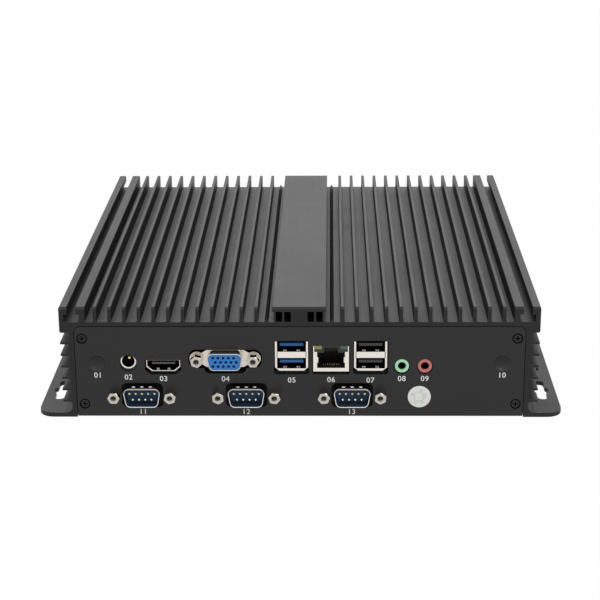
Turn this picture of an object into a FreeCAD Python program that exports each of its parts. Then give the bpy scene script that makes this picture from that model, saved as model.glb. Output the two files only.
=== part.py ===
import FreeCAD, Part

# A fanless industrial computer: a finned aluminium extrusion with foot flanges, closed by a
# front panel with the sockets, a rear panel with the power button and a bottom cover.
# Units are millimetres. +Z is up, the socket panel faces -Y, and the origin is at the bottom
# centre of the whole object, connectors included.

import math
import os

from FreeCAD import Vector

# ------------------------------------------------------------------ driving sizes

# extrusion
depth = 226.0
rail_width = 211.0            # over the outer rails and the rib tips
height = 51.8
end_chamfer = 0.9             # milled on the ends of fins, rails and block
wall = 3.5
top_wall = 3.0
ceiling_fillet = 2.0

# fins
fin_height = 6.8
fin_thickness = 1.5
fin_pitch = 6.44
fin_bevel = 0.2
fin_root = 0.4
first_fin = 18.9              # from the middle of the body to the first fin
fin_clearance = 2.6           # least groove beside the wide rail

# centre block with its four tunnels
block_half = 11.8
block_plate = 2.1
block_inset = 0.8             # the plate overhangs the outer tunnel wall
block_wall = 0.7
tunnel_divider = 0.9
tunnel_width = 2.9
ridge_offset = 14.3           # low ridge beside the block
ridge_height = 1.2
ridge_base = 1.8

# side rails and T-slots
outer_rail = 3.5
slot_mouth = 3.95
wide_rail = 3.95
slot_lip = 3.3
slot_undercut_out = 1.5
slot_undercut_in = 1.6
rail_height = 11.8
rail_bevel = 0.5

# side ribs
rib_depth = 4.0
rib_pitch = 5.46
rib_tip = 1.2
rib_bevel = 0.25
rib_fillet = 0.4

# foot flanges
flange_reach = 11.5           # beyond the rib tips
flange_thickness = 2.0
flange_fillet = 3.0
flange_corner = 7.0
keyhole_from_end = 27.0
keyhole_from_edge = 6.7
keyhole_length = 22.0
keyhole_width = 4.6
keyhole_head = 7.4
foot_hole = 4.6
foot_hole_from_end = 53.0

# screw channels and cover ledges inside the extrusion
channel_radius = 3.2
channel_bore = 1.3
channel_from_wall = 2.2
upper_channel_drop = 4.75      # below the ceiling
lower_channel = 6.3
ledge_width = 10.0
ledge_thickness = 2.6

# end panels, let into a rebate of the extrusion
panel_thickness = 1.2
panel_lip = 2.1               # extrusion left around the rebate
panel_lip_top = 1.9
panel_gap = 0.35
panel_corner = 2.7

# bottom cover
cover_thickness = 1.5
cover_gap = 0.3
cover_lift = 0.5              # the cover lies this high above the feet's underside
cover_screw_rows = 3
cover_screw_from_end = 22.0
ledge_screw_inset = 5.0

# screws
screw_shank = 1.2
screw_hole_gap = 0.3
screw_head_radius = 2.2
screw_head_height = 1.3
screw_length = 8.0
sunk_head_radius = 1.85
sunk_head_height = 0.75
sunk_head_bevel = 0.1
counterbore = 2.3             # radius of the panel's recess round a screw head
counterbore_depth = 0.8
cover_screw_length = 4.6
recess_reach = 1.15
recess_width = 0.55
recess_depth = 1.0

# mainboard
board_width = 172.0
board_length = 170.0
board_thickness = 1.6
board_gap = 1.0               # between the board's edge and the panel
head_room = 20.75             # between the board and the ceiling
standoff_flats = 5.5
board_hole_inset = 7.0
board_front_hole = 28.0
board_rear_hole = 6.0

# serial board
serial_board_thickness = 1.2
serial_spacer = 1.0
spacer_radius = 2.6
serial_board_from = -88.0
serial_board_to = 42.0
serial_board_length = 20.0
serial_spacer_places = (-83.0, -46.7, 37.0)
serial_spacer_inset = 3.4
link_width = 10.0
link_length = 4.0

# D-shaped ports
port_proud = 4.6
port_wall = 0.4
port_flange_thickness = 0.8
port_flange_width = 30.8
port_flange_height = 12.4
port_corner = 2.4
port_body_depth = 10.0
port_slope = 10.0             # degrees, of the D's two sides
port_fit = 0.05
plug_width = 17.0
plug_height = 8.8
plug_cavity = 5.2
plug_block_width = 18.5
plug_block_room = 4.55        # from the block up to the mainboard
socket_width = 16.3
socket_height = 7.9
socket_recess = 0.25
port_centre_height = 6.5      # of a port above its own board
cutout_width = 18.5
cutout_above = 5.6
cutout_below = 5.9
pin_radius = 0.5
pin_length = 3.6
pin_pitch = 2.77
pin_row = 1.42
socket_pitch = 2.29
socket_row = 1.98
socket_hole = 0.6
socket_hole_depth = 4.0
nut_spacing = 24.99
nut_flats = 4.8
nut_length = 5.0
nut_bevel = 0.35
nut_thread = 1.42
nut_thread_depth = 3.8
nut_stud = 1.4
nut_stud_gap = 0.2
nut_stud_length = 4.2
nut_turn = 17.0               # degrees from one jackscrew to the next
serial_places = (-69.9, -23.6, 23.3)

# monitor port: the flange shows in its own cut-out
monitor_place = -32.8
monitor_flange_width = 18.0
monitor_flange_height = 8.0
monitor_wing_height = 7.2
monitor_wing_corner = 3.4
monitor_block_width = 15.0
monitor_block_setback = 3.0   # behind the flange plate
monitor_cutout_below = 6.9
monitor_cutout_above = 4.2
monitor_cutout_gap = 0.8
monitor_flange_depth = 0.5    # behind the panel's outer face

# power jack
jack_place = -75.85
jack_height = 4.85
jack_outer = 3.75
jack_inner = 2.9
jack_hole = 3.9
jack_hole_drop = 0.5          # the panel's hole sits this much lower than the jack
jack_depth = 9.5
jack_sleeve_length = 7.0
jack_body_width = 9.4
jack_body_height = 9.6
jack_body_length = 13.0
jack_pin = 0.85
jack_pin_back = 4.5           # the pin's tip lies this far inside the sleeve
jack_slot = 1.3

# every socket on the mainboard but the round ones starts just behind the front panel
socket_gap = 0.05

# digital display socket
display_place = -60.35
display_width = 15.0
display_height = 5.4
display_wall = 0.35
display_chamfer_width = 2.4
display_chamfer_height = 2.0
display_lift = 0.25
display_depth = 11.0
display_cavity = 7.5
display_tongue_width = 10.2
display_tongue_thickness = 0.75
display_tongue_drop = 1.6
display_tongue_back = 0.9
display_gap = 0.5
display_gap_below = 1.1
display_gap_above = 0.2
display_spring = 2.35         # each side of the middle

# twin stacked sockets
stack_width = 14.6
stack_height = 15.2
stack_depth = 17.5
stack_lift = 0.4
stack_side = 0.9
stack_lip = 1.1
stack_lip_width = 10.9
stack_notch = 1.5
stack_opening = 4.95
stack_band = 2.9
stack_cavity = 9.0
stack_slot = 0.25
stack_slot_depth = 0.6
tongue_width = 10.4
tongue_thickness = 1.3
tongue_drop = 1.2
tongue_back = 0.9
stack_gap = 0.5
stack_gap_below = 1.25
stack_cover = 0.65            # the panel hides this much of the stack's top
stack_corner = 1.2
spring_width = 1.6
spring_offset = 2.8
spring_back = 0.6
spring_rise = 1.1
spring_run = 2.0
spring_sink = 0.05
blue_stack_place = -3.5
black_stack_place = 31.4

# network jack
network_place = 13.95
network_width = 15.8
network_height = 13.2
network_depth = 18.0
network_face = 0.5
network_frame = 1.75
network_lip = 1.7
network_shoulder = 9.3        # height at which the frame steps out around the lamps
network_lamp_width = 3.3
network_lamp_height = 2.1
network_lamp_length = 6.0
network_cavity = 13.0
network_latch = 6.0
network_latch_rise = 2.6
network_wall = 0.5
network_cover = 0.65          # the panel hides this much of the jack's top
network_gap_below = 0.85
network_roof_drop = 0.6
network_side_gap = 0.2
network_tab_low = 4.2
network_tab_high = 6.8
network_tab_reach = 0.5
contact_count = 8
contact_pitch = 1.016
contact_width = 0.4
contact_start = 4.0
contact_thickness = 0.5
contact_rise = 2.6

# sound jacks
audio_place = 45.2
mic_place = 55.35
sound_height = 3.2
sound_ring = 3.1
sound_bore = 1.8
sound_proud = 0.2
sound_hole_drop = 0.3
sound_body_width = 7.6
sound_body_height = 6.4
sound_body_length = 12.0
sound_bore_length = 12.0
sound_gap = 0.4

# antenna hole plugs
antenna_from_edge = 9.4
antenna_height = 25.45
antenna_hole = 3.3
antenna_head = 3.65
antenna_head_height = 0.4
antenna_dish = 0.3
antenna_fit = 0.1
antenna_barb = 0.25
antenna_stem = 2.2

# round sticker
sticker_place = 53.1
sticker_height = 9.8
sticker_radius = 5.1
sticker_thickness = 0.1

# rear panel furniture
button_place = 62.0
button_height = 24.0
button_bezel = 7.5
button_bezel_height = 1.6
button_barrel = 5.9
button_barrel_length = 14.0
button_hole_gap = 0.2
button_nut_flats = 15.0
button_nut_thickness = 2.0
button_bore = 4.8
button_fit = 0.1
button_collar = 0.5
button_lip = 2.2
button_proud = 0.4
button_travel = 1.2
button_length = 6.0
button_run_on = 0.8           # room left behind the pressed button
lamp_place = 42.0
lamp_radius = 1.5
lamp_flange = 2.1
lamp_flange_thickness = 0.8
lamp_length = 5.0
lamp_proud = 0.6

# processor and its heat block
processor_size = 28.0
processor_thickness = 2.2
pad_thickness = 0.3
block_size = 64.0
block_leg = 9.0
block_from_front = 84.0
block_screw_length = 8.0

# memory, drive, cell and coils
memory_place = -46.0
memory_from_front = 120.0
memory_width = 67.6
memory_length = 30.0
memory_board = 1.0
memory_chip_height = 1.0
memory_chip_count = 4
memory_chip_gap = 2.0
memory_chip_front = 8.0
memory_chip_back = 6.0
memory_lift = 2.4
memory_bar = 6.5
memory_bar_height = 5.2
memory_arm = 2.6
memory_arm_drop = 1.0
memory_fit = 0.2
drive_place = 50.0
drive_from_front = 112.0
drive_width = 30.0
drive_length = 50.8
drive_chip_height = 1.2
drive_chip_length = 14.0
drive_chip_places = (6.0, 24.0)
drive_chip_margin = 3.0
drive_lift = 3.0
drive_bar = 6.0
drive_post_radius = 2.2
drive_bar_height = 5.0
drive_notch = 2.9
drive_board = 1.0
cell_place = 60.0
cell_from_front = 62.0
cell_radius = 10.0
cell_thickness = 3.2
cell_fit = 0.2
cell_holder_wall = 1.2
cell_holder_floor = 0.8
cell_holder_share = 0.7       # of the cell's thickness
chip_seat = 0.01              # chips overlap their board by this much, to be one solid
coil_size = 7.0
coil_height = 4.0
coil_places = (-72.0, -62.0, -52.0)
coil_from_front = 62.0

# ------------------------------------------------------------------ derived places

front_reach = nut_length
rear_reach = button_bezel_height + button_proud
front = -(depth + rear_reach - front_reach) / 2
back = front + depth

rail_half = rail_width / 2
flange_half = rail_half + flange_reach
wall_outer = rail_half - rib_depth
wall_inner = wall_outer - wall
groove_floor = height - fin_height
ceiling = groove_floor - top_wall
rail_bottom = height - rail_height
slot_ceiling = height - slot_lip
slot_outer_edge = rail_half - outer_rail
slot_inner_edge = slot_outer_edge - slot_mouth
wide_rail_edge = slot_inner_edge - wide_rail

rebate_half = wall_outer - panel_lip
rebate_top = groove_floor - panel_lip_top
panel_half = rebate_half - panel_gap
panel_top = rebate_top - panel_gap
panel_bottom = cover_lift
channel_place = wall_inner - channel_from_wall
upper_channel = ceiling - upper_channel_drop

cover_top = cover_lift + cover_thickness
cover_half = rebate_half - cover_gap
cover_start = front + panel_thickness + cover_gap
cover_end = back - panel_thickness - cover_gap
ledge_edge = wall_inner - ledge_width
ledge_top = cover_top + ledge_thickness

board_top = ceiling - head_room
board_bottom = board_top - board_thickness
board_start = front + panel_thickness + board_gap
board_end = board_start + board_length
board_hole_x = board_width / 2 - board_hole_inset
board_hole_y = (board_start + board_front_hole, board_end - board_rear_hole)

serial_bottom = cover_top + serial_spacer
serial_top = serial_bottom + serial_board_thickness
serial_end = board_start + serial_board_length
serial_centre = serial_top + port_centre_height
monitor_centre = board_top + port_centre_height
inside_front = front + panel_thickness
socket_front = inside_front + socket_gap
button_room = button_travel + button_run_on


# ------------------------------------------------------------------ shape helpers

def box(x0, x1, y0, y1, z0, z1):
    """A block between two corners."""
    return Part.makeBox(x1 - x0, y1 - y0, z1 - z0, Vector(x0, y0, z0))


def rod(x, z, radius, y0, y1):
    """A cylinder along Y."""
    return Part.makeCylinder(radius, y1 - y0, Vector(x, y0, z), Vector(0, 1, 0))


def post(x, y, radius, z0, z1):
    """A cylinder along Z."""
    return Part.makeCylinder(radius, z1 - z0, Vector(x, y, z0), Vector(0, 0, 1))


def plate_between(points, y0, y1):
    """A straight-sided outline in XZ, carried along Y."""
    corners = [Vector(x, y0, z) for x, z in points]
    wire = Part.makePolygon(corners + corners[:1])
    return Part.Face(wire).extrude(Vector(0, y1 - y0, 0))


def rounded(points, radius, y0, y1):
    """A convex outline in XZ with every corner rounded, carried along Y."""
    count = len(points)
    middle = Vector(sum(p[0] for p in points) / count, y0, sum(p[1] for p in points) / count)
    edges = []
    starts = []
    ends = []
    arcs = []
    for index in range(count):
        before, here, after = (Vector(points[(index + step) % count][0], y0,
                                      points[(index + step) % count][1]) for step in (-1, 0, 1))
        back_way = (before - here).normalize()
        on_way = (after - here).normalize()
        half = back_way.getAngle(on_way) / 2
        reach = radius / math.tan(half)
        bisector = (back_way + on_way).normalize()
        centre = here + bisector * (radius / math.sin(half))
        starts.append(here + back_way * reach)
        ends.append(here + on_way * reach)
        arcs.append(centre - bisector * radius)
    for index in range(count):
        edges.append(Part.Arc(starts[index], arcs[index], ends[index]).toShape())
        following = starts[(index + 1) % count]
        if ends[index].distanceToPoint(following) > 1e-6:
            edges.append(Part.LineSegment(ends[index], following).toShape())
    return Part.Face(Part.Wire(edges)).extrude(Vector(0, y1 - y0, 0))


def rounded_box(x, z, width, tall, radius, y0, y1):
    """A rectangle in XZ about (x, z) with rounded corners, carried along Y."""
    left, right = x - width / 2, x + width / 2
    low, high = z - tall / 2, z + tall / 2
    return rounded([(left, low), (right, low), (right, high), (left, high)], radius, y0, y1)


def d_shape(x, z, width, tall, radius, y0, y1):
    """The D outline of a port: wide at the top, with both sides sloping in."""
    slope = tall * math.tan(math.radians(port_slope))
    top, bottom = width / 2, width / 2 - slope
    outline = [(x - bottom, z - tall / 2), (x + bottom, z - tall / 2),
               (x + top, z + tall / 2), (x - top, z + tall / 2)]
    return rounded(outline, radius, y0, y1)


def hexagon(x, z, flats, y0, y1, turn=0.0):
    """A hexagonal bar along Y."""
    corner = flats / math.sqrt(3)
    angles = [math.radians(turn + 60 * index) for index in range(6)]
    points = [(x + corner * math.cos(angle), z + corner * math.sin(angle)) for angle in angles]
    return plate_between(points, y0, y1)


def turned(points, x, z, y, sign=1):
    """A profile of (radius, distance) turned about an axis along Y through (x, z)."""
    corners = [Vector(x + radius, y + sign * reach, z) for radius, reach in points]
    face = Part.Face(Part.makePolygon(corners + corners[:1]))
    return face.revolve(Vector(x, y, z), Vector(0, 1, 0), 360)


def joined(shapes):
    """All shapes as one solid."""
    whole = shapes[0]
    if len(shapes) > 1:
        whole = whole.fuse(shapes[1:])
    return whole.removeSplitter()


def without(shape, tools):
    """The shape with all tools cut out of it."""
    return shape.cut(tools)


def save(node, *shapes):
    """One STEP file for a node, from one or more separate solids."""
    shape = shapes[0] if len(shapes) == 1 else Part.makeCompound(list(shapes))
    shape.exportStep("parts/" + node + ".step")


# ------------------------------------------------------------------ extrusion

class Section:
    """An open outline in XZ, drawn with a pen from point to point."""

    def __init__(self, x, z):
        self.pen = Vector(x, front, z)
        self.edges = []

    def line(self, x, z):
        end = Vector(x, front, z)
        self.edges.append(Part.LineSegment(self.pen, end).toShape())
        self.pen = end

    def corner(self, centre_x, centre_z, x, z):
        """A quarter circle about a centre."""
        radius = self.pen.distanceToPoint(Vector(centre_x, front, centre_z))
        chord = (self.pen + Vector(x, front, z)) * 0.5 - Vector(centre_x, front, centre_z)
        reach = chord.normalize() * radius
        middle = Vector(centre_x + reach.x, front, centre_z + reach.z)
        end = Vector(x, front, z)
        self.edges.append(Part.Arc(self.pen, middle, end).toShape())
        self.pen = end


def draw_fin(section, inner, outer):
    """One fin, from the groove floor up over its bevelled top and down again."""
    section.line(inner - fin_root, groove_floor)
    section.corner(inner - fin_root, groove_floor + fin_root, inner, groove_floor + fin_root)
    section.line(inner, height - fin_bevel)
    section.line(inner + fin_bevel, height)
    section.line(outer - fin_bevel, height)
    section.line(outer, height - fin_bevel)
    section.line(outer, groove_floor + fin_root)
    section.corner(outer + fin_root, groove_floor + fin_root, outer + fin_root, groove_floor)


def draw_top(section):
    """Block, ridge, fins, wide rail, T-slot and outer rail, from the middle outwards."""
    tunnel_wall = block_half - block_inset
    section.line(block_half - fin_bevel, height)
    section.line(block_half, height - fin_bevel)
    section.line(block_half, height - block_plate)
    section.line(tunnel_wall, height - block_plate)
    section.line(tunnel_wall, groove_floor)
    section.line(ridge_offset - ridge_base / 2, groove_floor)
    section.line(ridge_offset, groove_floor + ridge_height)
    section.line(ridge_offset + ridge_base / 2, groove_floor)
    last_fin = wide_rail_edge - fin_clearance - fin_thickness / 2
    for index in range(int((last_fin - first_fin) / fin_pitch) + 1):
        place = first_fin + index * fin_pitch
        draw_fin(section, place - fin_thickness / 2, place + fin_thickness / 2)
    section.line(wide_rail_edge - fin_root, groove_floor)
    section.corner(wide_rail_edge - fin_root, groove_floor + fin_root,
                   wide_rail_edge, groove_floor + fin_root)
    section.line(wide_rail_edge, height - fin_bevel)
    section.line(wide_rail_edge + fin_bevel, height)
    section.line(slot_inner_edge, height)
    section.line(slot_inner_edge, slot_ceiling)
    section.line(slot_inner_edge - slot_undercut_in, slot_ceiling)
    section.line(slot_inner_edge - slot_undercut_in, groove_floor)
    section.line(slot_outer_edge + slot_undercut_out, groove_floor)
    section.line(slot_outer_edge + slot_undercut_out, slot_ceiling)
    section.line(slot_outer_edge, slot_ceiling)
    section.line(slot_outer_edge, height)
    section.line(rail_half - rail_bevel, height)
    section.line(rail_half, height - rail_bevel)


def draw_side(section):
    """Outer rail, ribs and foot flange, from the top down to the underside."""
    gap = rib_pitch - rib_tip
    root = wall_outer + rib_fillet
    top = rail_bottom
    section.line(rail_half, top + rail_bevel)
    section.line(rail_half - rail_bevel, top)
    rib_count = int((rail_bottom - flange_thickness - flange_fillet) / rib_pitch)
    for _ in range(rib_count):
        section.line(root, top)
        section.corner(root, top - rib_fillet, wall_outer, top - rib_fillet)
        section.line(wall_outer, top - gap + rib_fillet)
        section.corner(root, top - gap + rib_fillet, root, top - gap)
        section.line(rail_half - rib_bevel, top - gap)
        section.line(rail_half, top - gap - rib_bevel)
        section.line(rail_half, top - rib_pitch + rib_bevel)
        section.line(rail_half - rib_bevel, top - rib_pitch)
        top -= rib_pitch
    section.line(root, top)
    section.corner(root, top - rib_fillet, wall_outer, top - rib_fillet)
    section.line(wall_outer, flange_thickness + flange_fillet)
    section.corner(wall_outer + flange_fillet, flange_thickness + flange_fillet,
                   wall_outer + flange_fillet, flange_thickness)
    section.line(flange_half, flange_thickness)
    section.line(flange_half, 0)


def draw_inside(section):
    """Cover seat, ledge, inner wall and ceiling, back to the middle."""
    section.line(rebate_half, 0)
    section.line(rebate_half, cover_top)
    section.line(ledge_edge, cover_top)
    section.line(ledge_edge, ledge_top)
    section.line(wall_inner, ledge_top)
    section.line(wall_inner, ceiling - ceiling_fillet)
    section.corner(wall_inner - ceiling_fillet, ceiling - ceiling_fillet,
                   wall_inner - ceiling_fillet, ceiling)
    section.line(0, ceiling)


def extrusion_bar():
    """The section mirrored about the middle and carried along the depth."""
    section = Section(0, height)
    draw_top(section)
    draw_side(section)
    draw_inside(section)
    right = Part.Wire(section.edges)
    left = right.mirror(Vector(0, 0, 0), Vector(1, 0, 0))
    outline = Part.Wire(Part.__sortEdges__(right.Edges + left.Edges))
    return Part.Face(outline).extrude(Vector(0, depth, 0))


def tunnel(side, start):
    """One tunnel under the centre plate, `start` away from the middle."""
    ends = sorted((side * start, side * (start + tunnel_width)))
    return box(ends[0], ends[1], front, back, groove_floor, height - block_plate)


def keyhole(side, y):
    """A slot along Y with a round entry for a screw head at its middle."""
    x = side * (flange_half - keyhole_from_edge)
    half = (keyhole_length - keyhole_width) / 2
    radius = keyhole_width / 2
    slot = [box(x - radius, x + radius, y - half, y + half, -1, flange_thickness + 1)]
    ends = [post(x, y + step, radius, -1, flange_thickness + 1) for step in (-half, half)]
    return joined(slot + ends + [post(x, y, keyhole_head / 2, -1, flange_thickness + 1)])


def rebate(y0, y1):
    """The shallow pocket that takes an end panel."""
    low = -height
    outline = [(-rebate_half, low), (rebate_half, low), (rebate_half, rebate_top),
               (-rebate_half, rebate_top)]
    return rounded(outline, panel_corner + panel_gap, y0, y1)


def end_bevel(y, inwards):
    """The corner milled off the ends of everything that reaches the top."""
    run = end_chamfer + 1
    points = [Vector(-flange_half, y - inwards, height - run),
              Vector(-flange_half, y - inwards, height + 1),
              Vector(-flange_half, y + inwards * run, height + 1)]
    return Part.Face(Part.makePolygon(points + points[:1])).extrude(Vector(2 * flange_half, 0, 0))


def cover_screw_places():
    """Centres of the bottom cover's screws, three along each ledge."""
    first = cover_start + cover_screw_from_end
    pitch = (cover_end - cover_start - 2 * cover_screw_from_end) / (cover_screw_rows - 1)
    x = ledge_edge + ledge_screw_inset
    return [(side * x, first + row * pitch) for side in (-1, 1) for row in range(cover_screw_rows)]


def make_housing():
    """The one-piece extrusion with its milled ends, channels and flange holes."""
    ends = (-1, 1)
    channels = [rod(side * channel_place, z, channel_radius, front, back)
                for side in ends for z in (lower_channel, upper_channel)]
    body = joined([extrusion_bar()] + channels)
    tools = [rod(side * channel_place, z, channel_bore, front, back)
             for side in ends for z in (lower_channel, upper_channel)]
    outer_start = block_half - block_inset - block_wall - tunnel_width
    inner_start = outer_start - tunnel_divider - tunnel_width
    tools += [tunnel(side, start) for side in ends for start in (outer_start, inner_start)]
    tools += [rebate(front - 1, front + panel_thickness), rebate(back - panel_thickness, back + 1)]
    tools += [end_bevel(front, 1), end_bevel(back, -1)]
    for side in ends:
        for distance in (keyhole_from_end, depth - keyhole_from_end):
            tools.append(keyhole(side, front + distance))
        for distance in (foot_hole_from_end, depth - foot_hole_from_end):
            x = side * (flange_half - keyhole_from_edge)
            tools.append(post(x, front + distance, foot_hole / 2, -1, flange_thickness + 1))
    for x, y in cover_screw_places():
        tools.append(post(x, y, channel_bore, cover_top - 1, ledge_top + 1))
    body = without(body, tools)
    corners = [edge for edge in body.Edges
               if abs(abs(edge.BoundBox.XMin) - flange_half) < 1e-3
               and edge.BoundBox.XLength < 1e-3 and edge.BoundBox.YLength < 1e-3]
    body = body.makeFillet(flange_corner, corners)
    save("housing", body)


# ------------------------------------------------------------------ screws

def cross_recess(x, z, y, inwards):
    """A cross-shaped pocket in a screw head that faces along Y."""
    y0, y1 = sorted((y, y + inwards * recess_depth))
    arm, half = recess_reach, recess_width / 2
    return [box(x - arm, x + arm, y0, y1, z - half, z + half),
            box(x - half, x + half, y0, y1, z - arm, z + arm)]


def pan_screw(x, z, y, inwards, length):
    """A pan-head screw along Y whose head seats on the plane at y."""
    head = screw_head_height
    profile = [(0, length), (screw_shank, length), (screw_shank, 0), (screw_head_radius, 0),
               (screw_head_radius, -0.45 * head), (0.88 * screw_head_radius, -0.85 * head),
               (0.68 * screw_head_radius, -head), (0, -head)]
    body = turned(profile, x, z, y, inwards)
    return without(body, cross_recess(x, z, y - inwards * head, inwards))


def sunk_screw(x, z, y, inwards, length):
    """A cheese-head screw along Y, seated in the counterbore of a panel whose face is at y."""
    seat = counterbore_depth
    top = seat - sunk_head_height
    rim = sunk_head_radius - sunk_head_bevel
    profile = [(0, seat + length), (screw_shank, seat + length), (screw_shank, seat),
               (sunk_head_radius, seat), (sunk_head_radius, top + sunk_head_bevel),
               (rim, top), (0, top)]
    body = turned(profile, x, z, y, inwards)
    return without(body, cross_recess(x, z, y + inwards * top, inwards))


def upright(shape, x, y, z, up):
    """A shape made along +Y at the origin, stood up along Z at a place."""
    shape = shape.copy()
    shape.rotate(Vector(0, 0, 0), Vector(1, 0, 0), -90 if up < 0 else 90)
    shape.translate(Vector(x, y, z))
    return shape


def down_screw(x, y, z, length):
    """A pan-head screw that goes down from the plane at z."""
    return upright(pan_screw(0, 0, 0, 1, length), x, y, z, -1)


def up_screw(x, y, z, length):
    """A pan-head screw that goes up from the plane at z."""
    return upright(pan_screw(0, 0, 0, 1, length), x, y, z, 1)


def flat_screw(x, y, length):
    """A countersunk screw that goes up into the cover's ledge, flush underneath."""
    profile = [(0, length), (screw_shank, length), (screw_shank, screw_head_height),
               (screw_head_radius, 0), (0, 0)]
    body = turned(profile, 0, 0, 0)
    body = without(body, cross_recess(0, 0, 0, 1))
    return upright(body, x, y, cover_lift, 1)


def panel_screw_places():
    """The four corners where an end panel is screwed to the extrusion's channels."""
    return [(side * channel_place, z) for side in (-1, 1) for z in (lower_channel, upper_channel)]


def make_screws():
    """Front, rear and bottom cover screws."""
    places = panel_screw_places()
    save("front_panel_screws", *[sunk_screw(x, z, front, 1, screw_length) for x, z in places])
    save("rear_panel_screws", *[sunk_screw(x, z, back, -1, screw_length) for x, z in places])
    save("bottom_cover_screws",
         *[flat_screw(x, y, cover_screw_length) for x, y in cover_screw_places()])


# ------------------------------------------------------------------ panels and cover

def counterbored_hole(x, z, face, inwards):
    """A through hole for a panel screw, with a flat recess for its head."""
    ends = sorted((face - inwards, face + inwards * counterbore_depth))
    through = sorted((face - inwards, face + inwards * (panel_thickness + 1)))
    return joined([rod(x, z, counterbore, *ends),
                   rod(x, z, screw_shank + screw_hole_gap, *through)])


def blank_panel(face, inwards):
    """A plain end panel from its face inwards by its own thickness, with its screw holes."""
    y = min(face, face + inwards * panel_thickness)
    left, right = -panel_half, panel_half
    shoulder = panel_top - panel_corner
    plate = joined([box(left, right, y, y + panel_thickness, panel_bottom, shoulder),
                    rounded([(left, shoulder - panel_corner), (right, shoulder - panel_corner),
                             (right, panel_top), (left, panel_top)],
                            panel_corner, y, y + panel_thickness)])
    return without(plate, [counterbored_hole(x, z, face, inwards)
                           for x, z in panel_screw_places()])


def nut_places(x):
    """The two jackscrew axes of a port at x."""
    return (x - nut_spacing / 2, x + nut_spacing / 2)


def stack_top():
    """Height of the top of a stacked socket."""
    return board_top + stack_lift + stack_height


def display_outline(grow, below, above):
    """The display socket's outline: both lower corners cut off."""
    half = display_width / 2 + grow
    low = board_top + display_lift - below
    high = board_top + display_lift + display_height + above
    run, rise = display_chamfer_width, display_chamfer_height
    return [(display_place - half + run, low), (display_place + half - run, low),
            (display_place + half, low + rise), (display_place + half, high),
            (display_place - half, high), (display_place - half, low + rise)]


def front_cutouts():
    """Every opening in the front panel."""
    y0, y1 = front - 1, front + panel_thickness + 1
    tools = []
    for x in serial_places:
        middle = serial_centre + (cutout_above - cutout_below) / 2
        tall = cutout_above + cutout_below
        tools.append(rounded_box(x, middle, cutout_width, tall, port_corner, y0, y1))
        for place in nut_places(x):
            tools.append(rod(place, serial_centre, nut_stud + nut_stud_gap, y0, y1))
    low, high = monitor_centre - monitor_cutout_below, monitor_centre + monitor_cutout_above
    tools.append(rounded_box(monitor_place, (low + high) / 2, cutout_width, high - low,
                             port_corner, y0, y1))
    gap = monitor_cutout_gap
    tools.append(rounded_box(monitor_place, monitor_centre, port_flange_width + 2 * gap,
                             monitor_wing_height + 2 * gap, monitor_wing_corner, y0, y1))
    tools.append(rod(jack_place, board_top + jack_height - jack_hole_drop, jack_hole, y0, y1))
    display = display_outline(display_gap, display_gap_below, display_gap_above)
    tools.append(plate_between(display, y0, y1))
    for x in (blue_stack_place, black_stack_place):
        low, high = board_top + stack_lift - stack_gap_below, stack_top() - stack_cover
        tools.append(rounded_box(x, (low + high) / 2, stack_width + 2 * stack_gap, high - low,
                                 stack_corner, y0, y1))
    low, high = board_top - network_gap_below, board_top + network_height - network_cover
    tools.append(rounded_box(network_place, (low + high) / 2, network_width + 2 * stack_gap,
                             high - low, stack_corner, y0, y1))
    for x in (audio_place, mic_place):
        tools.append(rod(x, board_top + sound_height - sound_hole_drop, sound_ring + sound_gap,
                         y0, y1))
    for side in (-1, 1):
        x = side * (panel_half - antenna_from_edge)
        tools.append(rod(x, antenna_height, antenna_hole, y0, y1))
    return tools


def make_panels():
    """Front panel with its cut-outs, rear panel with the holes for button and lamp."""
    save("front_panel", without(blank_panel(front, 1), front_cutouts()))
    y = back - panel_thickness
    rear = blank_panel(back, -1)
    holes = [rod(button_place, button_height, button_barrel + button_hole_gap, y - 1, back + 1),
             rod(lamp_place, button_height, lamp_radius + antenna_fit, y - 1, back + 1)]
    save("rear_panel", without(rear, holes))


def make_cover():
    """The bottom cover, countersunk from below for its screws."""
    plate = box(-cover_half, cover_half, cover_start, cover_end, cover_lift, cover_top)
    tools = []
    for x, y in cover_screw_places():
        tools.append(post(x, y, screw_shank + screw_hole_gap, cover_lift - 1, cover_top + 1))
        wide = screw_head_radius + screw_hole_gap / 3
        tools.append(Part.makeCone(wide, screw_shank + screw_hole_gap / 3, screw_head_height,
                                   Vector(x, y, cover_lift), Vector(0, 0, 1)))
    save("bottom_cover", without(plate, tools))


# ------------------------------------------------------------------ D-shaped ports

def port_shell(x, z, width, tall, flange, flange_y, proud_y):
    """The pressed steel shell: a thin D tube standing on its flange plate."""
    tube = d_shape(x, z, width, tall, port_corner, proud_y, flange_y + port_flange_thickness)
    inner = d_shape(x, z, width - 2 * port_wall, tall - 2 * port_wall, port_corner - port_wall,
                    proud_y - 1, flange_y + port_flange_thickness + 1)
    holes = [rod(place, z, nut_stud + nut_stud_gap, flange_y - 1, flange_y + 2)
             for place in nut_places(x)]
    return without(joined([flange, tube]), [inner] + holes)


def port_insert(x, z, width, tall, face_y, block):
    """The moulded body: a D tongue inside the shell and the block that carries it."""
    fit = port_wall + port_fit
    block_y = block.BoundBox.YMin
    tongue = d_shape(x, z, width - 2 * fit, tall - 2 * fit, port_corner - fit, face_y, block_y)
    return joined([tongue, block])


def plug_pins(x, z, face_y):
    """Nine pins, five above four, each with a tapered tip."""
    rows = ((5, pin_row), (4, -pin_row))
    pins = []
    for count, rise in rows:
        for index in range(count):
            place = x + (index - (count - 1) / 2) * pin_pitch
            taper = pin_radius * 0.5
            profile = [(0, 0), (pin_radius, 0), (pin_radius, pin_length - taper),
                       (taper, pin_length), (0, pin_length)]
            pins.append(turned(profile, place, z + rise, face_y, -1))
    return pins


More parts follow.
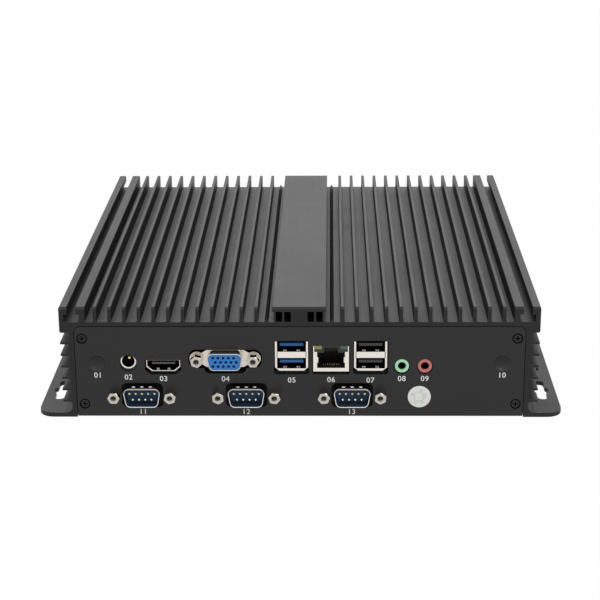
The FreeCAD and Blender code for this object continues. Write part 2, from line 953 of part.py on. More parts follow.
def jackscrew(x, z, seat, turn):
    """A hexagonal jackscrew: bevelled face, threaded hole, and a stud behind its seat."""
    face_y = seat - nut_length
    bar = hexagon(x, z, nut_flats, face_y, seat, turn)
    corner = nut_flats / math.sqrt(3) + 0.01
    inner = corner - nut_bevel / math.tan(math.radians(30))
    cone = turned([(0, 0), (inner, 0), (corner, nut_bevel), (corner, nut_length),
                   (0, nut_length)], x, z, face_y)
    stud = rod(x, z, nut_stud, seat, seat + nut_stud_length)
    bore = rod(x, z, nut_thread, face_y - 1, face_y + nut_thread_depth)
    return without(joined([bar.common(cone), stud]), [bore])


def make_serial_ports():
    """Three nine-way plugs on the serial board."""
    flange_y = inside_front
    proud_y = front - port_proud
    for number, x in enumerate(serial_places, 1):
        flange = rounded_box(x, serial_centre, port_flange_width, port_flange_height,
                             port_wall, flange_y, flange_y + port_flange_thickness)
        name = "serial_port_{}_".format(number)
        face_y = proud_y + plug_cavity
        block_y = flange_y + port_flange_thickness
        block = box(x - plug_block_width / 2, x + plug_block_width / 2, block_y,
                    block_y + port_body_depth, serial_top, board_bottom - plug_block_room)
        save(name + "shell",
             port_shell(x, serial_centre, plug_width, plug_height, flange, flange_y, proud_y))
        save(name + "insert",
             port_insert(x, serial_centre, plug_width, plug_height, face_y, block))
        save(name + "pins", *plug_pins(x, serial_centre, face_y))


def make_monitor_port():
    """The fifteen-way socket on the mainboard, with its flange showing in the cut-out."""
    flange_y = front + monitor_flange_depth
    proud_y = front - port_proud
    x, z = monitor_place, monitor_centre
    reach = flange_y + port_flange_thickness
    flange = joined([
        rounded_box(x, z, monitor_flange_width, monitor_flange_height, port_corner,
                    flange_y, reach),
        rounded_box(x, z, port_flange_width, monitor_wing_height, monitor_wing_corner,
                    flange_y, reach)])
    shell = port_shell(x, z, socket_width, socket_height, flange, flange_y, proud_y)
    face_y = proud_y + socket_recess
    block_y = reach + monitor_block_setback
    block = box(x - monitor_block_width / 2, x + monitor_block_width / 2, block_y,
                block_y + port_body_depth, board_top, z + socket_height / 2)
    insert = port_insert(x, z, socket_width, socket_height, face_y, block)
    holes = []
    for row in (-1, 0, 1):
        for index in range(5):
            shift = socket_pitch * (0.25 if row == 0 else -0.25)
            place = x + (index - 2) * socket_pitch + shift
            holes.append(rod(place, z + row * socket_row, socket_hole,
                             face_y - 1, face_y + socket_hole_depth))
    save("monitor_port_shell", shell)
    save("monitor_port_insert", without(insert, holes))


def make_jackscrews():
    """Eight jackscrews: two at each D-shaped port."""
    axes = [(x, serial_centre, front) for port in serial_places for x in nut_places(port)]
    flange_y = front + monitor_flange_depth
    axes += [(x, monitor_centre, flange_y) for x in nut_places(monitor_place)]
    save("port_jackscrews",
         *[jackscrew(x, z, seat, index * nut_turn) for index, (x, z, seat) in enumerate(axes)])


# ------------------------------------------------------------------ other sockets

def make_power_jack():
    """Round power jack: moulded body, metal sleeve with its slot, and centre pin."""
    z = board_top + jack_height
    y0 = socket_front
    sleeve_end = y0 + jack_sleeve_length
    body = box(jack_place - jack_body_width / 2, jack_place + jack_body_width / 2,
               y0, y0 + jack_body_length, board_top, board_top + jack_body_height)
    body = without(body, [rod(jack_place, z, jack_outer, y0 - 1, sleeve_end),
                          rod(jack_place, z, jack_inner, y0 - 1, y0 + jack_depth)])
    sleeve = without(rod(jack_place, z, jack_outer, y0, sleeve_end),
                     [rod(jack_place, z, jack_inner, y0 - 1, sleeve_end + 1),
                      box(jack_place - jack_slot / 2, jack_place + jack_slot / 2, y0 - 1,
                          sleeve_end + 1, z - jack_outer - 1, z - jack_inner + 0.3)])
    tip = y0 + jack_pin_back
    foot = y0 + jack_depth
    pin = turned([(0, 0), (0.6 * jack_pin, 0), (jack_pin, 0.5 * jack_pin),
                  (jack_pin, foot - tip), (0, foot - tip)], jack_place, z, tip)
    save("power_jack_body", body)
    save("power_jack_sleeve", sleeve)
    save("power_jack_pin", pin)


def contact_spring(x, y, floor):
    """A spring tab that rises from the floor of an opening towards the back."""
    left, low = x - spring_width / 2, floor - spring_sink
    points = [Vector(left, y, low), Vector(left, y + spring_run, low),
              Vector(left, y + spring_run, floor + spring_rise)]
    face = Part.Face(Part.makePolygon(points + points[:1]))
    return face.extrude(Vector(spring_width, 0, 0))


def base_pad(x, width, y0, depth, top):
    """The moulded base under a socket that carries it on the board."""
    inset = 1.0
    return box(x - width / 2 + inset, x + width / 2 - inset, y0 + 2 * inset, y0 + depth - inset,
               board_top, top)


def make_display_socket():
    """Digital display socket: folded shell with cut corners, tongue inside."""
    y0 = socket_front
    outer = plate_between(display_outline(0, 0, 0), y0, y0 + display_depth)
    inner = display_outline(-display_wall, -display_wall, -display_wall)
    cavity = plate_between(inner, y0 - 1, y0 + display_cavity)
    floor = board_top + display_lift + display_wall
    springs = [contact_spring(display_place + side * display_spring, y0 + spring_back, floor)
               for side in (-1, 1)]
    base = base_pad(display_place, display_width - 2 * display_chamfer_width, y0,
                    display_depth, board_top + display_lift)
    shell = joined([without(outer, [cavity]), base] + springs)
    high = board_top + display_lift + display_height - display_tongue_drop
    tongue = box(display_place - display_tongue_width / 2, display_place + display_tongue_width / 2,
                 y0 + display_tongue_back, y0 + display_cavity,
                 high - display_tongue_thickness, high)
    save("display_socket_shell", shell)
    save("display_socket_tongue", tongue)


def stack_openings():
    """Floor heights of the two openings, lower first."""
    low = board_top + stack_lift + stack_lip
    return (low, low + stack_opening + stack_band)


def make_stack(name, x):
    """A twin stacked socket: steel shell with two openings, and two tongues."""
    y0 = socket_front
    low, high = board_top + stack_lift, stack_top()
    half, lip_half = stack_width / 2, stack_lip_width / 2
    outline = [(x - lip_half, low), (x + lip_half, low), (x + half, low + stack_notch),
               (x + half, high), (x - half, high), (x - half, low + stack_notch)]
    shell = plate_between(outline, y0, y0 + stack_depth)
    inner_half = half - stack_side
    tools = []
    extras = [base_pad(x, stack_lip_width, y0, stack_depth, low)]
    tongues = []
    for floor in stack_openings():
        roof = floor + stack_opening
        tools.append(box(x - inner_half, x + inner_half, y0 - 1, y0 + stack_cavity, floor, roof))
        for side in (-1, 1):
            extras.append(contact_spring(x + side * spring_offset, y0 + spring_back, floor))
        tongues.append(box(x - tongue_width / 2, x + tongue_width / 2, y0 + tongue_back,
                           y0 + stack_cavity, roof - tongue_drop - tongue_thickness,
                           roof - tongue_drop))
    band = stack_openings()[0] + stack_opening
    for side in (-1, 1):
        edge = x + side * inner_half
        tools.append(box(edge - stack_slot / 2, edge + stack_slot / 2, y0 - 1,
                         y0 + stack_slot_depth, band, band + stack_band))
    save(name + "_shell", joined([without(shell, tools)] + extras))
    save(name + "_tongues", *tongues)


def make_network_jack():
    """Network jack: steel shell, moulded insert, contacts and two lamp windows."""
    x, y0 = network_place, socket_front
    low, high = board_top, board_top + network_height
    half = network_width / 2
    inside = half - network_wall
    face_half = half - network_frame
    shoulder = low + network_shoulder
    face_end = y0 + network_face
    shell = box(x - half, x + half, y0, y0 + network_depth, low, high)
    hollow = [box(x - inside, x + inside, face_end, y0 + network_depth + 1,
                  low + network_wall, high - network_wall),
              box(x - face_half, x + face_half, y0 - 1, face_end + 1, low + network_lip,
                  shoulder + 0.01),
              box(x - inside, x + inside, y0 - 1, face_end + 1, shoulder,
                  high - network_wall)]
    tabs = [box(x + side * face_half - network_tab_reach, x + side * face_half + network_tab_reach,
                y0, face_end, low + network_tab_low, low + network_tab_high) for side in (-1, 1)]
    save("network_jack_shell", joined([without(shell, hollow)] + tabs))

    fit = port_fit
    insert = box(x - inside + fit, x + inside - fit, face_end + fit, y0 + network_depth,
                 low + network_wall, high - network_wall - fit)
    upper = box(x - inside + fit, x + inside - fit, y0 + fit, face_end + fit,
                shoulder + fit, high - network_wall - fit)
    roof = shoulder - network_roof_drop
    floor = low + network_lip + fit
    room_half = face_half - network_side_gap
    cavity_end = y0 + network_cavity
    lamp_top = high - network_wall - fit
    lamps = []
    lamp_rooms = []
    for side in (-1, 1):
        outer_edge = inside - fit
        inner_edge = outer_edge - network_lamp_width
        ends = sorted((x + side * inner_edge, x + side * outer_edge))
        room = box(ends[0], ends[1], y0 - 1, y0 + network_lamp_length,
                   lamp_top - network_lamp_height, lamp_top)
        lamp_rooms.append(room)
        lamps.append(box(ends[0], ends[1], y0, y0 + network_lamp_length,
                         lamp_top - network_lamp_height, lamp_top))
    tools = [box(x - room_half, x + room_half, y0 - 1, cavity_end, floor, roof),
             box(x - network_latch / 2, x + network_latch / 2, y0 - 1, cavity_end, roof - 1,
                 roof + network_latch_rise)]
    save("network_jack_insert", without(joined([insert, upper]), tools + lamp_rooms))
    save("network_lamp_left", lamps[0])
    save("network_lamp_right", lamps[1])

    contacts = []
    start = y0 + contact_start
    for index in range(contact_count):
        place = x + (index - (contact_count - 1) / 2) * contact_pitch
        side_points = [(start, floor), (start + contact_thickness, floor),
                       (cavity_end, floor + contact_rise),
                       (cavity_end, floor + contact_rise + contact_thickness)]
        corners = [Vector(place - contact_width / 2, y, z) for y, z in side_points]
        face = Part.Face(Part.makePolygon(corners + corners[:1]))
        contacts.append(face.extrude(Vector(contact_width, 0, 0)))
    save("network_jack_contacts", *contacts)


def make_sound_jacks():
    """Two round sound jacks in coloured plastic."""
    z = board_top + sound_height
    y0 = front - sound_proud
    for name, x in (("audio_jack", audio_place), ("mic_jack", mic_place)):
        ring = rod(x, z, sound_ring, y0, board_start)
        body = box(x - sound_body_width / 2, x + sound_body_width / 2, board_start,
                   board_start + sound_body_length, board_top, board_top + sound_body_height)
        bore = rod(x, z, sound_bore, y0 - 1, y0 + sound_bore_length)
        save(name, without(joined([ring, body]), [bore]))


def make_antenna_plugs():
    """Dished plastic plugs that close the two antenna holes."""
    for name, side in (("antenna_plug_left", -1), ("antenna_plug_right", 1)):
        x = side * (panel_half - antenna_from_edge)
        stem = antenna_hole - antenna_fit
        profile = [(0, antenna_stem), (0.7 * stem, antenna_stem),
                   (antenna_hole + antenna_barb, panel_thickness + 0.5),
                   (antenna_hole + antenna_barb, panel_thickness), (stem, panel_thickness),
                   (stem, 0), (antenna_head, 0), (antenna_head, -0.4 * antenna_head_height),
                   (0.9 * antenna_head, -antenna_head_height),
                   (0.8 * antenna_head, -antenna_head_height),
                   (0.4 * antenna_head, -antenna_head_height + 0.75 * antenna_dish),
                   (0, -antenna_head_height + antenna_dish)]
        save(name, turned(profile, x, antenna_height, front))


def make_sticker():
    """The round sticker on the front panel."""
    save("round_sticker", rod(sticker_place, sticker_height, sticker_radius,
                              front - sticker_thickness, front))


# ------------------------------------------------------------------ rear furniture

def make_button():
    """Power button: plunger with a collar, threaded barrel with bezel, and its nut."""
    x, z = button_place, button_height
    bezel_y = back + button_bezel_height
    barrel_end = back - button_barrel_length
    barrel = joined([rod(x, z, button_bezel, back, bezel_y),
                     rod(x, z, button_barrel, barrel_end, back)])
    chamber = button_bore + button_collar
    chamber_end = bezel_y - button_lip
    floor = bezel_y - button_length - button_room
    barrel = without(barrel, [rod(x, z, button_bore, chamber_end - 1, bezel_y + 1),
                              rod(x, z, chamber, floor, chamber_end)])
    nut = hexagon(x, z, button_nut_flats, back - panel_thickness - button_nut_thickness,
                  back - panel_thickness)
    nut = without(nut, [rod(x, z, button_barrel, barrel_end, back)])
    face = bezel_y + button_proud
    head = button_bore - button_fit
    collar = chamber - button_fit
    collar_top = chamber_end - button_fit
    foot = bezel_y - button_length
    rim = 0.4
    profile = [(0, face - foot), (head - rim, face - foot), (head, face - foot - rim),
               (head, collar_top - foot), (collar, collar_top - foot), (collar, 0), (0, 0)]
    save("power_button", turned(profile, x, z, foot))
    save("button_barrel", barrel)
    save("button_nut", nut)


def make_lamp():
    """The status lamp's lens, pushed through the rear panel from inside."""
    y = back - panel_thickness
    profile = [(0, panel_thickness + lamp_proud), (0.6 * lamp_radius, panel_thickness + lamp_proud),
               (lamp_radius, panel_thickness), (lamp_radius, 0), (lamp_flange, 0),
               (lamp_flange, -lamp_flange_thickness), (lamp_radius, -lamp_flange_thickness),
               (lamp_radius, -lamp_length), (0, -lamp_length)]
    save("status_lamp", turned(profile, lamp_place, button_height, y))


# ------------------------------------------------------------------ boards and what they carry

def standoff(x, y, z0, z1):
    """A hexagonal pillar with a tapped hole."""
    bar = hexagon(0, 0, standoff_flats, 0, z1 - z0)
    bar = without(bar, [rod(0, 0, channel_bore, -1, z1 - z0 + 1)])
    return upright(bar, x, y, z1, -1)


def serial_spacer_spots():
    """Centres of the serial board's spacers."""
    return [(x, serial_end - serial_spacer_inset) for x in serial_spacer_places]


def block_screw_spots():
    """Centres of the heat block's four legs."""
    reach = (block_size - block_leg) / 2
    middle = front + block_from_front
    return [(sx * reach, middle + sy * reach) for sx in (-1, 1) for sy in (-1, 1)]


def make_boards():
    """Mainboard and serial board with their standoffs, spacers, screws and link."""
    spots = [(side * board_hole_x, y) for side in (-1, 1) for y in board_hole_y]
    gap = screw_shank + screw_hole_gap
    board = box(-board_width / 2, board_width / 2, board_start, board_end, board_bottom, board_top)
    holes = [post(x, y, gap, board_bottom - 1, board_top + 1)
             for x, y in spots + block_screw_spots()]
    save("mainboard", without(board, holes))

    serial = box(serial_board_from, serial_board_to, board_start, serial_end,
                 serial_bottom, serial_top)
    holes = [post(x, y, gap, serial_bottom - 1, serial_top + 1) for x, y in serial_spacer_spots()]
    save("serial_board", without(serial, holes))

    spacers = [without(post(x, y, spacer_radius, cover_top, serial_bottom),
                       [post(x, y, channel_bore, cover_top - 1, serial_bottom + 1)])
               for x, y in serial_spacer_spots()]
    pillars = [standoff(x, y, cover_top, board_bottom) for x, y in spots]
    save("board_standoffs", *(pillars + spacers))

    screws = [down_screw(x, y, board_top, screw_length) for x, y in spots]
    short = serial_board_thickness + serial_spacer
    screws += [down_screw(x, y, serial_top, short) for x, y in serial_spacer_spots()]
    save("board_screws", *screws)

    link_y = serial_end - link_length
    save("board_link", box(-link_width / 2, link_width / 2, link_y, serial_end,
                           serial_top, board_bottom))


def make_heat_path():
    """Processor, pads, the aluminium block up to the ceiling, and the block's screws."""
    middle = front + block_from_front
    half = processor_size / 2
    chip_top = board_top + processor_thickness
    block_low = chip_top + pad_thickness
    block_high = ceiling - pad_thickness
    save("processor", box(-half, half, middle - half, middle + half, board_top, chip_top))
    half_block = block_size / 2
    save("thermal_pads",
         box(-half, half, middle - half, middle + half, chip_top, block_low),
         box(-half_block, half_block, middle - half_block, middle + half_block,
             block_high, ceiling))
    block = [box(-half_block, half_block, middle - half_block, middle + half_block,
                 block_low, block_high)]
    holes = []
    for x, y in block_screw_spots():
        leg = block_leg / 2
        block.append(box(x - leg, x + leg, y - leg, y + leg, board_top, block_low))
        holes.append(post(x, y, channel_bore, board_top - 1, board_bottom + block_screw_length + 1))
    save("heat_block", without(joined(block), holes))
    save("heat_block_screws",
         *[up_screw(x, y, board_bottom, block_screw_length) for x, y in block_screw_spots()])


def make_memory():
    """Memory socket with two arms, and the module lying between them."""
    y0 = front + memory_from_front
    half = memory_width / 2 + memory_fit
    outer = half + memory_arm
    end = y0 + memory_bar + memory_length
    bar = box(memory_place - outer, memory_place + outer, y0, y0 + memory_bar,
              board_top, board_top + memory_bar_height)
    arms = [box(memory_place + side * half - (memory_arm if side < 0 else 0),
                memory_place + side * half + (memory_arm if side > 0 else 0),
                y0 + memory_bar, end, board_top,
                board_top + memory_bar_height - memory_arm_drop)
            for side in (-1, 1)]
    save("memory_socket", joined([bar] + arms))
    low = board_top + memory_lift
    high = low + memory_board
    chips = []
    pitch = (memory_width - memory_chip_gap) / memory_chip_count
    for index in range(memory_chip_count):
        left = memory_place - memory_width / 2 + memory_chip_gap + index * pitch
        chips.append(box(left, left + pitch - memory_chip_gap,
                         y0 + memory_bar + memory_chip_front, end - memory_chip_back,
                         high - chip_seat, high + memory_chip_height))
    plate = box(memory_place - memory_width / 2, memory_place + memory_width / 2,
                y0 + memory_bar, end, low, high)
    save("memory_module", joined([plate] + chips))


def make_drive():
    """Storage drive on its socket, with the post and the screw at its far end."""
    y0 = front + drive_from_front
    half = drive_width / 2
    low = board_top + drive_lift
    end = y0 + drive_bar + drive_length
    save("drive_socket", box(drive_place - half, drive_place + half, y0, y0 + drive_bar,
                             board_top, board_top + drive_bar_height))
    high = low + drive_board
    plate = box(drive_place - half, drive_place + half, y0 + drive_bar, end, low, high)
    side = half - drive_chip_margin
    chips = [box(drive_place - side, drive_place + side, y0 + drive_bar + start,
                 y0 + drive_bar + start + drive_chip_length, high - chip_seat,
                 high + drive_chip_height)
             for start in drive_chip_places]
    y = end - drive_notch
    hole = post(drive_place, y, screw_shank + screw_hole_gap, low - 1, high + 1)
    save("storage_drive", without(joined([plate] + chips), [hole]))
    pillar = without(post(drive_place, y, drive_post_radius, board_top, low),
                     [post(drive_place, y, channel_bore, board_top - 1, low + 1)])
    save("drive_post", pillar)
    save("drive_screw", down_screw(drive_place, y, high, drive_lift))


def make_small_parts():
    """Coin cell in its holder, and the coils of the power supply."""
    y = front + cell_from_front
    room = cell_radius + cell_fit
    floor = board_top + cell_holder_floor
    holder = post(cell_place, y, room + cell_holder_wall, board_top,
                  floor + cell_holder_share * cell_thickness)
    save("cell_holder", without(holder, [post(cell_place, y, room, floor, floor + cell_thickness)]))
    save("coin_cell", post(cell_place, y, cell_radius, floor, floor + cell_thickness))
    half = coil_size / 2
    middle = front + coil_from_front
    save("power_coils", *[box(x - half, x + half, middle - half, middle + half,
                              board_top, board_top + coil_height) for x in coil_places])


def main():
    os.makedirs("parts", exist_ok=True)
    make_housing()
    make_screws()
    make_panels()
    make_cover()
    make_serial_ports()
    make_monitor_port()
    make_jackscrews()
    make_power_jack()
    make_display_socket()
    make_stack("blue_stack", blue_stack_place)
    make_stack("black_stack", black_stack_place)
    make_network_jack()
    make_sound_jacks()
    make_antenna_plugs()
    make_sticker()
    make_button()
    make_lamp()
    make_boards()
    make_heat_path()
    make_memory()
    make_drive()
    make_small_parts()


main()
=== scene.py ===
"""A fanless industrial computer: finishes, print, small pressed details and a studio.

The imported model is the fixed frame. Every piece made here stands on a node of it, in metres,
and takes its place from that node's box.
"""

import math

import bmesh
import bpy
import numpy as np
from mathutils import Matrix, Vector


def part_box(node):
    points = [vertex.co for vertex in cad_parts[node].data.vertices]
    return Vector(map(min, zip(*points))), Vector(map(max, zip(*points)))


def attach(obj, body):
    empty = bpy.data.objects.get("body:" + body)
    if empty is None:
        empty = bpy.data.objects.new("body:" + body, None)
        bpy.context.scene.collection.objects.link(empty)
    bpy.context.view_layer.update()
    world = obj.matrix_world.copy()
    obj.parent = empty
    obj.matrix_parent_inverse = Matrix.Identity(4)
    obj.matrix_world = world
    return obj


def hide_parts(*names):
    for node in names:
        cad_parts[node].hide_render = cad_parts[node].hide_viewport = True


bl_info = {
    "name": "Fanless Industrial Computer",
    "version": (1, 0, 0),
    "blender": (4, 5, 0),
    "location": "3D View > Sidebar > Computer",
    "description": "Finishes the packed computer, prints its panel and builds a studio",
    "category": "Object",
}

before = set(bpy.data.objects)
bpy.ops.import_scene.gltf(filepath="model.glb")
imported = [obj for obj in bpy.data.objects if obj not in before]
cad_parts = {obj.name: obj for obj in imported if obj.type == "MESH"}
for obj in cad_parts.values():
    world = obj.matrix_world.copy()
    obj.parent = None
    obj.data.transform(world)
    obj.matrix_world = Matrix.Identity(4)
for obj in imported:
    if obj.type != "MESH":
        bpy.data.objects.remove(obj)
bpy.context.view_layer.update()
MM = 0.001
MOULD_GRAIN, MOULD_DEPTH = 1800.0, 0.000008
COMPUTER = "computer"
BUTTON = "button"
SERIAL_PORTS = ("serial_port_1", "serial_port_2", "serial_port_3")


# ------------------------------------------------------------------ settings

def length(name, description, default):
    """A length property, given in millimetres."""
    return bpy.props.FloatProperty(
        name=name, description=description, default=default * MM, min=0.0, unit="LENGTH",
        precision=6)


def tint(name, description, default):
    """A linear colour property."""
    return bpy.props.FloatVectorProperty(
        name=name, description=description, default=default, subtype="COLOR", size=3,
        min=0.0, max=1.0)


def share(name, description, default):
    """A property between nothing and all."""
    return bpy.props.FloatProperty(
        name=name, description=description, default=default, subtype="FACTOR", min=0.0, max=1.0)


def angle(name, description, default):
    """An angle property, given in degrees."""
    return bpy.props.FloatProperty(
        name=name, description=description, default=math.radians(default), subtype="ANGLE")


class HousingSettings(bpy.types.PropertyGroup):
    """Finish of the finned body, the end panels and the bottom cover."""

    edge: length("Edge", "Broken edge of the extrusion", 0.12)
    plate_edge: length("Plate edge", "Broken edge of panels and cover", 0.1)
    metal: tint("Anodised", "Colour of the black anodised body", (0.006, 0.006, 0.0062))
    panel: tint("Panel", "Colour of the black anodised end panels", (0.008, 0.008, 0.0083))
    cover: tint("Cover", "Colour of the powder-coated bottom cover", (0.018, 0.018, 0.019))
    body_roughness: share("Body roughness", "Roughness of the anodised body", 0.5)
    panel_roughness: share("Panel roughness", "Roughness of the end panels", 0.34)
    screw_head: length("Screw head", "Radius of a panel screw's head", 1.85)
    screw_gap: length("Screw gap", "Between a screw's head and its counterbore", 0.45)
    line_width: length("Die lines", "Spacing of the extrusion's fine die lines", 0.35)


class PrintSettings(bpy.types.PropertyGroup):
    """The numbers printed under the sockets, and the round sticker's marks."""

    ink: tint("Ink", "Colour of the printed numbers", (0.80, 0.80, 0.78))
    tall: length("Number height", "Height of a printed number", 2.45)
    thickness: length("Ink thickness", "How far the ink stands on the panel", 0.03)
    dish: length("Dish", "How far an antenna plug's face is hollowed", 0.9)
    paper: tint("Sticker", "Colour of the round sticker", (0.80, 0.80, 0.76))
    mark: tint("Sticker marks", "Colour of the marks on the sticker", (0.40, 0.56, 0.42))


class SocketSettings(bpy.types.PropertyGroup):
    """Metal shells, rims and coloured mouldings of the sockets."""

    steel: tint("Nickel", "Colour of the plated shells", (0.78, 0.74, 0.66))
    gold: tint("Gold", "Colour of the plated contacts", (0.86, 0.66, 0.32))
    monitor_blue: tint("Monitor blue", "Moulding of the monitor port", (0.018, 0.18, 0.53))
    serial_blue: tint("Serial blue", "Moulding of the serial ports", (0.006, 0.052, 0.15))
    stack_blue: tint("Tongue blue", "Tongues of the blue bus sockets", (0.012, 0.115, 0.35))
    audio_green: tint("Audio green", "Ring of the audio socket", (0.38, 0.76, 0.45))
    mic_pink: tint("Microphone pink", "Ring of the microphone socket", (0.56, 0.15, 0.14))
    fine_edge: length("Fine edge", "Broken edge of pressed and moulded parts", 0.06)
    plug_width: length("Plug width", "Width of a serial port's shell", 17.0)
    plug_height: length("Plug height", "Height of a serial port's shell", 8.8)
    plug_corner: length("Plug corner", "Corner radius of a serial port's shell", 2.4)
    plug_wall: length("Plug wall", "Wall of a port's shell", 0.4)
    rim_side: length("Rim", "Radius of the rolled rim at the sides", 0.21)
    rim_top: length("Top rim", "Radius of the rolled rim along the top", 0.32)
    dimple_width: length("Dimple width", "Width of a contact dimple on a shell", 1.9)
    dimple_pitch: length("Dimple pitch", "From one dimple to the next", 3.75)
    socket_width: length("Socket width", "Width of the monitor port's shell", 16.3)
    socket_height: length("Socket height", "Height of the monitor port's shell", 7.9)
    ear: length("Ear", "Radius of the monitor flange's ears", 3.2)
    flange_half: length("Flange half", "Half height of the monitor flange's middle", 4.0)
    screw_spacing: length("Jackscrew spacing", "Between a port's two jackscrews", 24.99)
    screw_reach: length("Jackscrew reach", "From the panel to a jackscrew's mouth", 5.0)
    bore: length("Bore", "Radius of a jackscrew's threaded bore", 1.41)
    bore_depth: length("Bore depth", "Depth of a jackscrew's threaded bore", 3.7)
    thread_pitch: length("Thread pitch", "Pitch of the thread in the jackscrews", 0.635)
    thread_height: length("Thread height", "Height of the thread in the jackscrews", 0.22)


class StudioSettings(bpy.types.PropertyGroup):
    """Floor, lamps and camera."""

    floor_size: length("Floor size", "Side of the square floor", 14000.0)
    floor: tint("Floor", "Colour of the floor", (0.86, 0.86, 0.86))
    surround: share("Surround", "How strongly the white room lights the object", 0.62)
    lens: bpy.props.FloatProperty(name="Lens", description="Focal length in millimetres",
                                  default=99.26, min=1.0)
    pitch: angle("Pitch", "Downward tilt of the camera", 19.05)
    yaw: angle("Yaw", "Turn of the camera to the right", -1.13)
    roll: angle("Roll", "Roll of the camera", -0.41)
    stand: bpy.props.FloatVectorProperty(name="Camera stand", description="Where the camera is",
                                         default=(0.01388, -0.79245, 0.29039),
                                         subtype="TRANSLATION")


# ------------------------------------------------------------------ meshes

def add_object(name, data):
    """Puts a new object in the scene."""
    made = bpy.data.objects.new(name, data)
    bpy.context.scene.collection.objects.link(made)
    return made


def middle_of(node):
    """The middle of a node's box."""
    low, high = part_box(node)
    return (low + high) / 2


def new_piece(name, mesh, material, body=COMPUTER):
    """Puts a mesh in the scene as a named piece that moves with a body."""
    piece = add_object(name, mesh)
    mesh.materials.clear()
    mesh.materials.append(material)
    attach(piece, body)
    return piece


def full_turn(steps):
    """Angles round a whole turn, without the first one again at its end."""
    return np.linspace(0, 2 * math.pi, steps, endpoint=False)


def in_rows(*places):
    """Points, a row for each, from arrays of their x, y and z that fit one grid."""
    return np.stack(np.broadcast_arrays(*places), axis=-1).reshape(-1, 3)


def wrapped_faces(rows, columns):
    """Quads between neighbours of a grid whose rows and columns both close on themselves."""
    index = np.arange(rows * columns).reshape(rows, columns)
    down = np.roll(index, -1, axis=0)
    return np.stack([index, np.roll(index, -1, axis=1), np.roll(down, -1, axis=1), down],
                    axis=-1).reshape(-1, 4)


def tidied(mesh, joined=True, flat=math.radians(0.5), touch=1e-6):
    """Joins doubled points, joins faces that lie in one plane and shades the rest smooth."""
    work = bmesh.new()
    work.from_mesh(mesh)
    bmesh.ops.remove_doubles(work, verts=work.verts, dist=touch)
    bmesh.ops.dissolve_degenerate(work, edges=work.edges, dist=touch)
    if joined:
        bmesh.ops.dissolve_limit(work, angle_limit=flat, verts=work.verts, edges=work.edges,
                                 use_dissolve_boundaries=False, delimit={"NORMAL"})
    for face in work.faces:
        face.smooth = True
    work.to_mesh(mesh)
    work.free()
    for layer in ("custom_normal", "sharp_edge", "sharp_face"):
        if layer in mesh.attributes:
            mesh.attributes.remove(mesh.attributes[layer])
    mesh.update()
    return mesh


def surfaced(node, material, edge, body=COMPUTER, joined=True, segments=2,
             sharp=math.radians(34)):
    """A merged copy of a node with broken edges, which stands for the node."""
    mesh = tidied(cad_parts[node].data.copy(), joined)
    mesh.name = node + "_surface"
    if not edge:
        mesh.set_sharp_from_angle(angle=sharp)
    piece = new_piece(node + "_surface", mesh, material, body)
    if edge:
        bevel = piece.modifiers.new("broken edge", "BEVEL")
        bevel.width = edge
        bevel.segments = segments
        bevel.limit_method = "ANGLE"
        bevel.angle_limit = sharp
        bevel.harden_normals = True
        bevel.miter_outer = "MITER_ARC"
    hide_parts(node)
    return piece


def d_outline(centre_x, centre_z, wide, tall, corner, slope=math.radians(10), steps=10):
    """Points and outward directions round a D.

    Each of the four corners is an arc. Its centre is the corner moved in along the sum of the
    two sides' normals, and its angle runs from one side's normal to the next side's.
    """
    lean = tall * math.tan(slope)
    corners = np.array([(-wide / 2 + lean, -tall / 2), (wide / 2 - lean, -tall / 2),
                        (wide / 2, tall / 2), (-wide / 2, tall / 2)])
    along = np.roll(corners, -1, axis=0) - corners
    angle = np.arctan2(-along[:, 0], along[:, 1])
    before = np.roll(angle, 1)
    turn = (angle - before) % (2 * math.pi)
    normal, previous = (np.stack([np.cos(a), np.sin(a)], axis=1) for a in (angle, before))
    reach = 1 + np.sum(normal * previous, axis=1, keepdims=True)
    centres = corners - corner * (normal + previous) / reach
    around = before[:, None] + turn[:, None] * np.linspace(0, 1, steps)
    outward = np.stack([np.cos(around), np.sin(around)], axis=-1)
    points = centres[:, None, :] + corner * outward + np.array([centre_x, centre_z])
    return points.reshape(-1, 2), outward.reshape(-1, 2)


def rolled_rim(node, wide, tall, corner, wall, side_radius, top_radius, around=14):
    """A bead round the mouth of a D shell.

    A circle is carried round the D, in the middle of the wall. Its radius grows from the sides
    to the top with the square of how far the outward direction points up.
    """
    low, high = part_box(node)
    points, outward = d_outline((low[0] + high[0]) / 2, (low[2] + high[2]) / 2,
                                wide - wall, tall - wall, corner - wall / 2)
    radius = side_radius + (top_radius - side_radius) * np.clip(outward[:, 1], 0, 1) ** 2
    turn = full_turn(around)
    across = radius[:, None] * np.cos(turn)
    forward = radius[:, None] * np.sin(turn)
    grid = in_rows(points[:, 0, None] + outward[:, 0, None] * across,
                   low[1] + side_radius + forward,
                   points[:, 1, None] + outward[:, 1, None] * across)
    return grid, wrapped_faces(len(points), around)


def d_sleeve(middle, wide, tall, corner, profile):
    """A sleeve whose section is a D: a closed profile of offsets and depths is carried round."""
    points, outward = d_outline(middle[0], middle[2], wide, tall, corner)
    offset, deep = (np.array(column) for column in zip(*profile))
    across = points[:, None, :] + outward[:, None, :] * offset[:, None]
    grid = in_rows(across[..., 0], deep, across[..., 1])
    return grid, wrapped_faces(len(points), len(profile))


